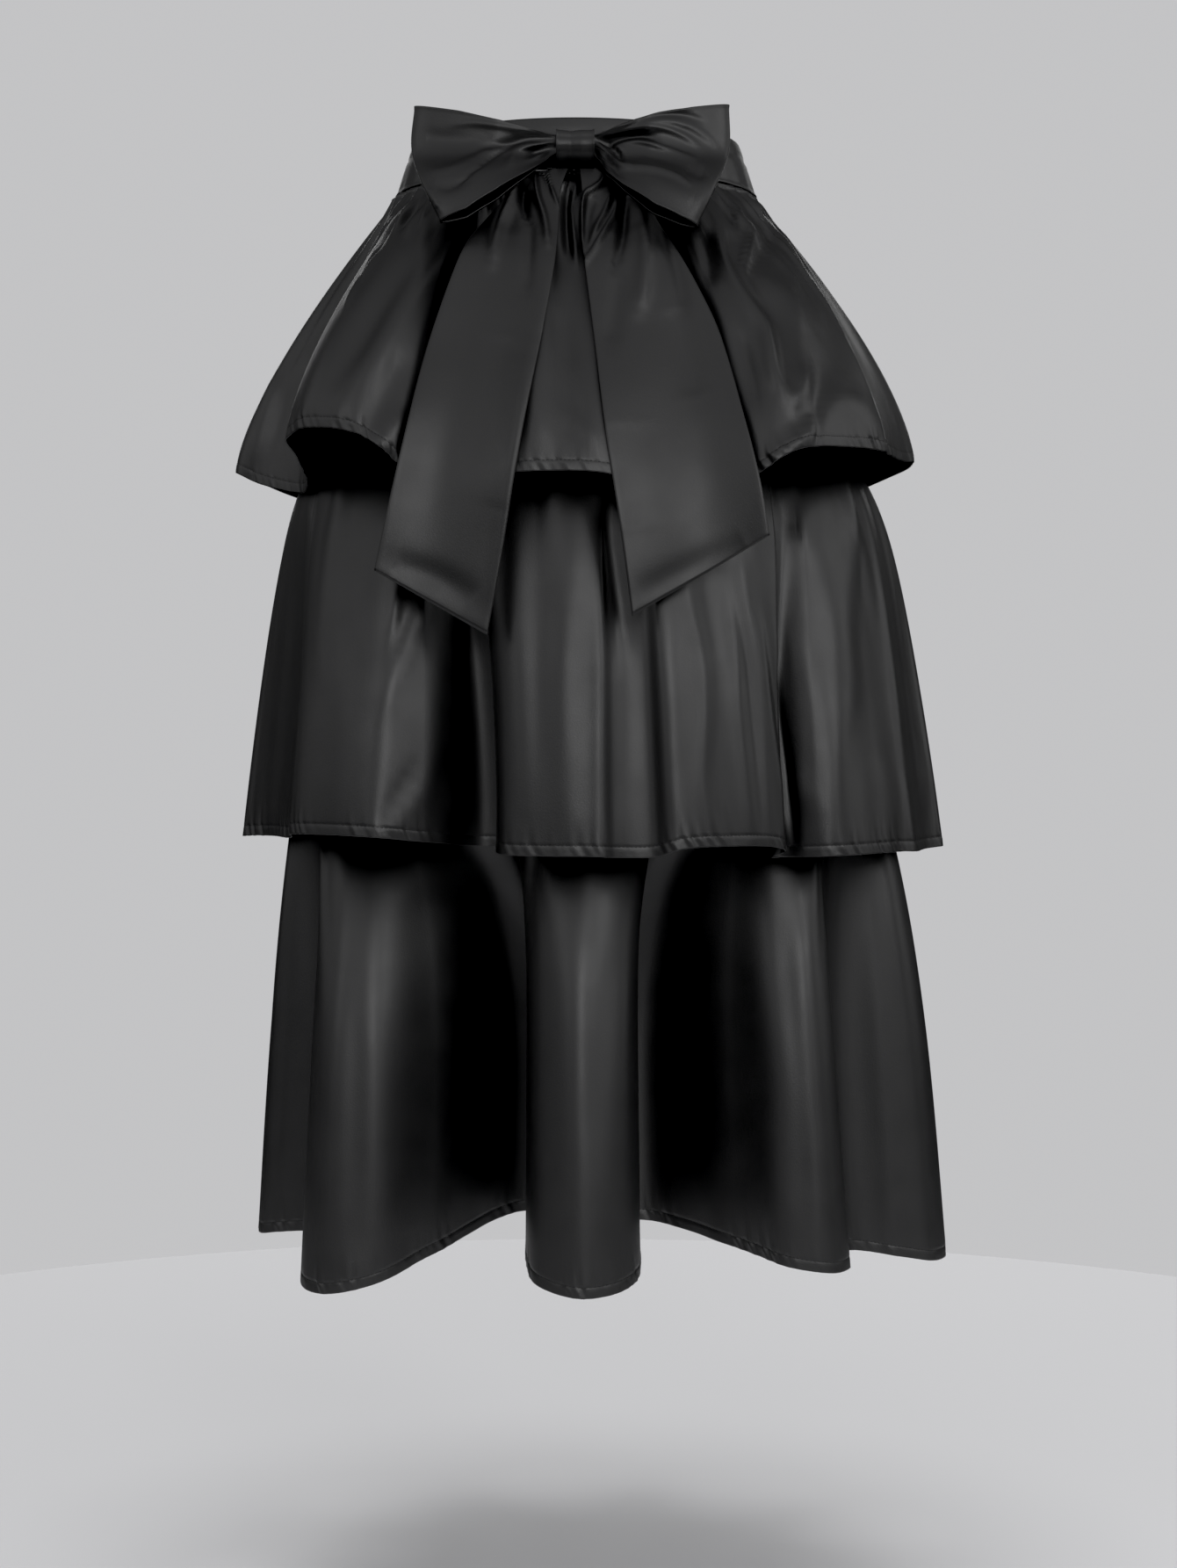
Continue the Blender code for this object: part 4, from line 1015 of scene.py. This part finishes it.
def add_knot(cloth):
    loop_y, loop_z = knot_loop(KNOT_COLUMNS, KNOT_ROUNDNESS)
    shares = np.linspace(-1, 1, KNOT_ROWS)
    front = np.clip(-(loop_y / KNOT_SIZE[1]) * KNOT_FACE_RISE, 0, 1)
    lean = KNOT_LEAN * (loop_z / KNOT_SIZE[2] + 0.5) * front
    rows = []
    for share in shares:
        pinch = 1 - KNOT_PINCH * (1 - share**2)
        x = np.full(KNOT_COLUMNS, share * KNOT_SIZE[0] / 2)
        rows.append(np.column_stack((x, KNOT_Y + pinch * loop_y - lean, KNOT_Z + pinch * loop_z)))
    grid = np.array(rows)
    across = shares[:, None]
    raised = KNOT_EDGE * mound(np.abs(across), 1, KNOT_EDGE_WIDTH)
    for place, width, height in KNOT_CREASES:
        raised = raised + height * mound(across, place, width)
    ripple = waves(np.linspace(0, KNOT_ROUND, KNOT_COLUMNS), KNOT_RIPPLE_WAVES,
                   np.random.default_rng(KNOT_SEED))
    raised = raised + KNOT_RIPPLE * ripple[None]
    raised -= KNOT_HOLLOW * (mound(loop_z, KNOT_HOLLOW_AT, KNOT_HOLLOW_WIDTH) * front)[None]
    normals = outward_normals_of_ring(grid)
    piece = ring_shell("bow_knot_cloth", grid + raised[..., None] * normals, normals, KNOT_CLOTH,
                       cloth)
    finish_cloth(piece, "bow_knot")


def outward_normals_of_ring(grid):
    """Unit normals of a grid whose rows are closed loops round the bow's middle."""
    wrapped = np.concatenate((grid[:, -1:], grid, grid[:, :1]), axis=1)
    normals = np.cross(np.gradient(grid, axis=0), (wrapped[:, 2:] - wrapped[:, :-2]) / 2)
    normals = normals / np.linalg.norm(normals, axis=-1, keepdims=True)
    out = (normals * (grid - (0.0, KNOT_Y, KNOT_Z))).sum(axis=-1).mean()
    return normals if out > 0 else -normals


def ring_shell(name, outer, normals, thickness, material):
    """A closed band of cloth with two open ends."""
    rows, columns = outer.shape[:2]
    count = rows * columns
    line = np.arange(columns)
    after = np.roll(line, -1)
    foot, foot_after = line + count - columns, after + count - columns
    faces = [grid_faces(rows, columns, 0, True, True), grid_faces(rows, columns, count, False, True),
             np.stack((after, line, line + count, after + count), axis=-1),
             np.stack((foot, foot_after, foot_after + count, foot + count), axis=-1)]
    inner = outer - normals * thickness
    vertices = np.concatenate((outer.reshape(-1, 3), inner.reshape(-1, 3)))
    return piece_of(name, vertices, np.concatenate(faces).tolist(), material, vertices[:, ::2])


def softened(value, softness):
    """The value where it is above zero and nothing below, with a rounded change between."""
    return softness * np.logaddexp(0, value / softness)


def wing_grid(side, steps, columns):
    """Points of a bow wing, one row round the open loop for each step across its height."""
    reaches, tops, bottoms = np.transpose(WING_OUTLINE[side]) * MM
    around = np.linspace(0, math.pi, steps + 1)
    out = np.abs(np.sin(around)) ** WING_BLUNTNESS
    layer = np.sign(np.cos(around)) * np.abs(np.cos(around)) ** WING_BLUNTNESS
    layer[steps // 2] = 0.0
    reach = reaches[0] + out * (reaches[-1] - reaches[0])
    top = np.interp(reach, reaches, tops)
    bottom = np.interp(reach, reaches, bottoms)
    free = np.clip((out - WING_IN_KNOT) / WING_FREE_SPAN, 0, 1)
    eased = np.minimum(1, WING_EASE * free)
    half_depth = WING_NECK_HALF_DEPTH + (WING_BELLY - WING_NECK_HALF_DEPTH) * free
    rows = []
    for down in np.linspace(0.0, 1.0, columns + 1):
        x = reach - out**3 * smooth_through(down, WING_END_CUT[side]) * MM
        bottom_here = bottom - WING_BACK_DROP * (layer < 0) * free * (1 - out**6)
        z = top + down * (bottom_here - top)
        below = softened(WING_REST_Z - z, WING_SOFTNESS)
        forward = WING_FORWARD * (1 - np.exp(-below / WING_REST_DEPTH)) * eased
        wave = math.cos(2 * math.pi * WING_GATHERS * down)
        gather = WING_GATHER_DEPTH * wave * (1 - out) ** 1.5 * eased
        closing = 1 - WING_CLOSING * down**2 * (layer < 0)
        y = KNOT_Y - layer * half_depth * closing - forward - np.abs(layer) * gather
        rows.append(np.column_stack((side * x, y, z)))
    grid = np.array(rows)
    return grid if side > 0 else grid[:, ::-1]


def add_wing(side, word, cloth):
    name = f"bow_wing_{word}"
    grid = wing_grid(side, WING_STEPS, WING_ROWS)
    grid = pushed_out(grid, crease_heights(grid, facing_front(grid), CREASES[name]))
    down = np.linspace(0, 1, len(grid))[:, None]
    edge = mound(np.minimum(down, 1 - down), 0, WING_EDGE_ZONE)
    grid = pushed_out(grid, WING_EDGE_RIDGE * edge)
    piece = shell(name + "_cloth", grid, WING_CLOTH + WING_EDGE_CLOTH * edge, cloth)
    finish_cloth(piece, name)


def front_of(panel, x, z):
    """Depth of the foremost fold of a panel near a place, from the panel's own points."""
    found = []
    for column in panel:
        heights = column[::-1, 2]
        if abs(np.interp(z, heights, column[::-1, 0]) - x) < TAIL_BRIDGE:
            found.append(np.interp(z, heights, column[::-1, 1]))
    return min(found)


def neighbour_mean(grid, **padding):
    """The mean of the four neighbours of each value in a grid that is padded at its border."""
    padded = np.pad(grid, 1, **padding)
    return (padded[:-2, 1:-1] + padded[2:, 1:-1] + padded[1:-1, :-2] + padded[1:-1, 2:]) / 4


def drape(clear, rounds):
    """Ease a grid of depths into a smooth sheet that stays in front of them all.

    The first row stays where it leaves the knot.
    """
    depths = clear.copy()
    depths[0] = KNOT_Y
    for _ in range(rounds):
        depths[1:] = np.minimum(neighbour_mean(depths, mode="edge"), clear)[1:]
    return depths


def resample(grid, rows, columns):
    """A grid of numbers read smoothly at a finer pitch."""
    tall = np.array([smooth_through(np.linspace(0, 1, rows), column) for column in grid.T]).T
    return np.array([smooth_through(np.linspace(0, 1, columns), row) for row in tall])


def tail_grid(side, panel, rows, columns):
    """Points of a tail from the knot down, lying on a panel and hanging past its hem."""
    down = np.linspace(0, 1, TAIL_ROWS + 1)
    across = np.linspace(0, 1, TAIL_COLUMNS + 1)
    inner_x, inner_z, outer_x, outer_z = (smooth_through(down, field)[:, None]
                                          for field in np.transpose(TAIL_EDGES[side]) * MM)
    x = inner_x + across * (outer_x - inner_x)
    z = inner_z + across * (outer_z - inner_z)
    clear = np.vectorize(lambda px, pz: front_of(panel, px, pz))(x, z) - TAIL_WALL - TAIL_CLEARANCE
    fine = [resample(field, rows, columns) for field in (x, drape(clear, TAIL_RELAXING), z)]
    fine[1] = smoothed(fine[1], TAIL_SMOOTHING)
    grid = np.stack(fine, axis=-1)
    return grid if side > 0 else grid[:, ::-1]


def smoothed(field, rounds):
    """A grid of numbers eased towards its neighbours' mean, with its first row kept."""
    result = field.copy()
    for _ in range(rounds):
        result[1:] = neighbour_mean(result, mode="reflect", reflect_type="odd")[1:]
    return result


def add_tail(side, word, panel, cloth):
    name = f"bow_tail_{word}"
    grid = tail_grid(side, panel, TAIL_FINE_ROWS, TAIL_FINE_COLUMNS)
    down = np.linspace(0, 1, TAIL_FINE_ROWS)[:, None]
    across = np.linspace(0, 1, TAIL_FINE_COLUMNS)[None]
    raised = crease_heights(grid, facing_front(grid), CREASES[name])
    raised += TAIL_PUFF * mound(down, 0, TAIL_PUFF_REACH) * np.minimum(1, down / TAIL_PUFF_START)
    grid = pushed_out(grid, raised)
    width = np.linalg.norm(grid[:, -1] - grid[:, 0], axis=-1)[:, None]
    from_edge = np.minimum(np.minimum(across, 1 - across) * width, (1 - down) * TAIL_LENGTH)
    edge = mound(from_edge, 0, TAIL_EDGE_ZONE)
    grid = pushed_out(grid, -TAIL_EDGE_HOLLOW * edge)
    piece = shell(name + "_cloth", grid, TAIL_CLOTH - TAIL_EDGE_THINNER * edge, cloth)
    finish_cloth(piece, name)


# ---- Materials ----

PALE = (0.60, 0.60, 0.61)
SATIN_GREY, COAT_ROUGHNESS = 0.006, 0.35
DARKER, LIGHTER, TONE_PLACES = (0.82, 0.82, 0.84), (1.2, 1.2, 1.22), (0.3, 0.72)
# Warp threads 0.22 mm apart across the cloth, floating in long runs
THREAD_STRETCH, THREAD_DETAIL, THREAD_DEPTH = (4500, 700, 1), 2, 0.2 * MM
GRAIN_SCALE, GRAIN_DETAIL, GRAIN_DEPTH = 900, 3, 0.4 * MM
SLUB_SCALE, SLUB_DETAIL, SLUB_RANGE, SLUB_ROUGHNESS = 38, 4, (0.3, 0.7), 0.035
BUMP_STRENGTH = 0.2
THREAD_TWIST, THREAD_TWIST_CHANGE, THREAD_ROUGHNESS = 1400, 2, 0.55
THREAD_DARK, THREAD_LIGHT = 0.006, 0.022


def node(tree, kind, inputs=(), **settings):
    """A new node with its settings, and with the sockets that are the same all over."""
    made = tree.nodes.new(kind)
    for key, value in settings.items():
        setattr(made, key, value)
    for key, value in dict(inputs).items():
        made.inputs[key].default_value = value
    return made


def new_material(name, inputs):
    """A new material, its tree and its shader, with the shader's plain sockets set."""
    material = bpy.data.materials.new(name)
    material.use_nodes = True
    tree = material.node_tree
    shader = tree.nodes["Principled BSDF"]
    for key, value in inputs.items():
        shader.inputs[key].default_value = value
    return material, tree, shader


def noise(tree, source, scale, detail):
    made = node(tree, "ShaderNodeTexNoise", {"Scale": scale, "Detail": detail})
    tree.links.new(source, made.inputs["Vector"])
    return made.outputs["Fac"]


def mapped(tree, source, before, after, way="LINEAR"):
    """A value of one range turned into another."""
    change = node(tree, "ShaderNodeMapRange", interpolation_type=way)
    change.inputs["From Min"].default_value, change.inputs["From Max"].default_value = before
    change.inputs["To Min"].default_value, change.inputs["To Max"].default_value = after
    tree.links.new(source, change.inputs["Value"])
    return change.outputs["Result"]


def toned(tree, source, dark, light, places=(0, 1)):
    """A colour that goes from dark to light as a value rises between two places."""
    tone = node(tree, "ShaderNodeValToRGB")
    low, high = tone.color_ramp.elements
    low.position, high.position = places
    low.color, high.color = (*dark, 1), (*light, 1)
    tree.links.new(source, tone.inputs["Fac"])
    return tone.outputs["Color"]


def bumped(tree, height, depth):
    made = node(tree, "ShaderNodeBump", {"Strength": BUMP_STRENGTH, "Distance": depth})
    tree.links.new(height, made.inputs["Height"])
    return made


def satin_material(name, roughness, specular, gloss):
    """Black satin: a smooth warp-faced weave with a broad soft sheen and a fine grain.

    The broad sheen is the cloth's own, and a narrower gloss lies over it.
    """
    material, tree, shader = new_material(name, {
        "Specular IOR Level": specular, "Coat Weight": gloss, "Coat Roughness": COAT_ROUGHNESS})
    place = node(tree, "ShaderNodeTexCoord")
    stretch = node(tree, "ShaderNodeMapping", {"Scale": THREAD_STRETCH})
    tree.links.new(place.outputs["UV"], stretch.inputs["Vector"])
    threads = noise(tree, stretch.outputs["Vector"], 1, THREAD_DETAIL)
    grain = noise(tree, place.outputs["Object"], GRAIN_SCALE, GRAIN_DETAIL)
    slubs = noise(tree, place.outputs["Object"], SLUB_SCALE, SLUB_DETAIL)

    tone = toned(tree, threads, [SATIN_GREY * part for part in DARKER],
                 [SATIN_GREY * part for part in LIGHTER], TONE_PLACES)
    tree.links.new(tone, shader.inputs["Base Color"])
    rough = mapped(tree, slubs, SLUB_RANGE,
                   (roughness - SLUB_ROUGHNESS, roughness + SLUB_ROUGHNESS))
    tree.links.new(rough, shader.inputs["Roughness"])
    weave = bumped(tree, threads, THREAD_DEPTH)
    fine = bumped(tree, grain, GRAIN_DEPTH)
    tree.links.new(weave.outputs["Normal"], fine.inputs["Normal"])
    tree.links.new(fine.outputs["Normal"], shader.inputs["Normal"])
    return material


def thread_material():
    material, tree, shader = new_material("Black thread", {"Roughness": THREAD_ROUGHNESS})
    place = node(tree, "ShaderNodeTexCoord")
    twist = node(tree, "ShaderNodeTexWave",
                 {"Scale": THREAD_TWIST, "Distortion": THREAD_TWIST_CHANGE})
    tree.links.new(place.outputs["Object"], twist.inputs["Vector"])
    tone = toned(tree, twist.outputs["Fac"], (THREAD_DARK,) * 3, (THREAD_LIGHT,) * 3)
    tree.links.new(tone, shader.inputs["Base Color"])
    return material


# ---- Stage ----

FLOOR_Z, FLOOR_RADIUS, FLOOR_CORNERS, FLOOR_ROUGHNESS = -1.02, 1.2, 128, 0.9
FLOOR_LAMP_POWER, FLOOR_LAMP_SPREAD = 1.65, math.radians(35)

LAMP_TARGET = (0, 0, -0.42)
# Name, place, size and power
LAMPS = (
    ("Key", (0.4, -3.0, 0.4), (1.0, 1.0), 15),
    ("Left", (-2.1, -2.2, 0.8), (0.9, 1.2), 5),
    ("Right", (2.1, -2.2, 0.8), (0.9, 1.2), 12),
    ("Far left", (-2.9, 0.3, 0.7), (2.0, 2.4), 4),
    ("Far right", (2.9, 0.3, 0.7), (2.0, 2.4), 10),
    ("Behind left", (-0.9, 2.9, 0.8), (0.9, 1.2), 5),
    ("Behind right", (0.9, 2.9, 0.8), (0.9, 1.2), 5),
)
# Where the room's glow begins and is full, upwards and towards the front, and how strong it is
GLOW_UP, GLOW_UP_STRENGTH = (-0.22, 0.38), (0.0, 0.9)
GLOW_FRONT, GLOW_FRONT_STRENGTH = (0.75, -0.8), (0.14, 1.1)
BACKDROP_STRENGTH = 0.92


def add_floor():
    """A pale floor, with a high lamp that lights it alone so that it is even out to its edge."""
    bpy.ops.mesh.primitive_circle_add(vertices=FLOOR_CORNERS, radius=FLOOR_RADIUS,
                                      fill_type="NGON", location=(0, 0, FLOOR_Z))
    floor = bpy.context.object
    floor.name = "floor"
    looks = {"Base Color": (*PALE, 1), "Roughness": FLOOR_ROUGHNESS}
    floor.data.materials.append(new_material("Pale floor", looks)[0])
    light = bpy.data.lights.new("Floor lamp", "SUN")
    light.energy = FLOOR_LAMP_POWER
    light.angle = FLOOR_LAMP_SPREAD
    lamp = bpy.data.objects.new("Floor lamp", light)
    bpy.context.scene.collection.objects.link(lamp)
    lit = bpy.data.collections.new("Lit by the floor lamp")
    lit.objects.link(floor)
    lamp.light_linking.receiver_collection = lit


def add_lights():
    for name, place, size, power in LAMPS:
        light = bpy.data.lights.new(name, "AREA")
        light.shape = "RECTANGLE"
        light.size, light.size_y = size
        light.energy = power
        lamp = bpy.data.objects.new(name, light)
        lamp.location = place
        aim = Vector(LAMP_TARGET) - Vector(place)
        lamp.rotation_euler = aim.to_track_quat("-Z", "Y").to_euler()
        lamp.visible_camera = False
        bpy.context.scene.collection.objects.link(lamp)


def add_world():
    """A plain pale room: even for the camera, and for the skirt a soft glow from the upper front."""
    world = bpy.data.worlds.new("Studio")
    bpy.context.scene.world = world
    world.use_nodes = True
    tree = world.node_tree
    background = tree.nodes["Background"]
    background.inputs["Color"].default_value = (*PALE, 1)
    place = node(tree, "ShaderNodeTexCoord")
    parts = node(tree, "ShaderNodeSeparateXYZ")
    tree.links.new(place.outputs["Generated"], parts.inputs["Vector"])
    upper = mapped(tree, parts.outputs["Z"], GLOW_UP, GLOW_UP_STRENGTH, "SMOOTHSTEP")
    front = mapped(tree, parts.outputs["Y"], GLOW_FRONT, GLOW_FRONT_STRENGTH, "SMOOTHSTEP")
    glow = node(tree, "ShaderNodeMath", operation="MULTIPLY")
    tree.links.new(upper, glow.inputs[0])
    tree.links.new(front, glow.inputs[1])
    strength = node(tree, "ShaderNodeMix", {"B": BACKDROP_STRENGTH})
    tree.links.new(node(tree, "ShaderNodeLightPath").outputs["Is Camera Ray"],
                   strength.inputs["Factor"])
    tree.links.new(glow.outputs["Value"], strength.inputs["A"])
    tree.links.new(strength.outputs["Result"], background.inputs["Strength"])


def add_camera():
    camera = bpy.data.cameras.new("Camera")
    camera.sensor_width = SENSOR
    camera.lens = PICTURE_SCALE / PICTURE_SIZE[1] * SENSOR
    camera.shift_x = (PICTURE_SIZE[0] / 2 - PICTURE_MIDDLE[0]) / PICTURE_SIZE[1]
    camera.shift_y = (PICTURE_MIDDLE[1] - PICTURE_SIZE[1] / 2) / PICTURE_SIZE[1]
    view = bpy.data.objects.new("Camera", camera)
    view.location = CAMERA_PLACE
    view.rotation_euler = (math.radians(90), 0, 0)
    bpy.context.scene.collection.objects.link(view)
    bpy.context.scene.camera = view
    settings = bpy.context.scene.view_settings
    settings.view_transform = "Standard"
    settings.use_curve_mapping = True
    settings.curve_mapping.black_level = (BLACK_LEVEL,) * 3


# ---- Skirt ----


def main():
    cloth = satin_material("Black satin cloth", roughness=0.44, specular=0.66, gloss=0.2)
    bow_cloth = satin_material("Black satin bow cloth", roughness=0.46, specular=0.62, gloss=0.15)
    lining = satin_material("Black lining cloth", roughness=0.7, specular=0.3, gloss=0.0)
    thread = thread_material()
    add_band_front(cloth)
    add_band_back(cloth)
    for half, start, end in HALVES:
        add_underskirt_half(half, start, end, lining)
    grids = {}
    for number, tier in enumerate(TIERS):
        for half, start, end in HALVES:
            grids[f"{tier.name}_{half}"] = add_tier_half(tier, number, half, start, end,
                                                         cloth, thread)
    panel = grids["tier1_front"][::PANEL_ROW_STEP, ::PANEL_COLUMN_STEP].transpose(1, 0, 2)
    add_knot(bow_cloth)
    for side, word in ((-1, "left"), (1, "right")):
        add_wing(side, word, bow_cloth)
        add_tail(side, word, panel, bow_cloth)
    add_floor()
    add_lights()
    add_world()
    add_camera()


main()
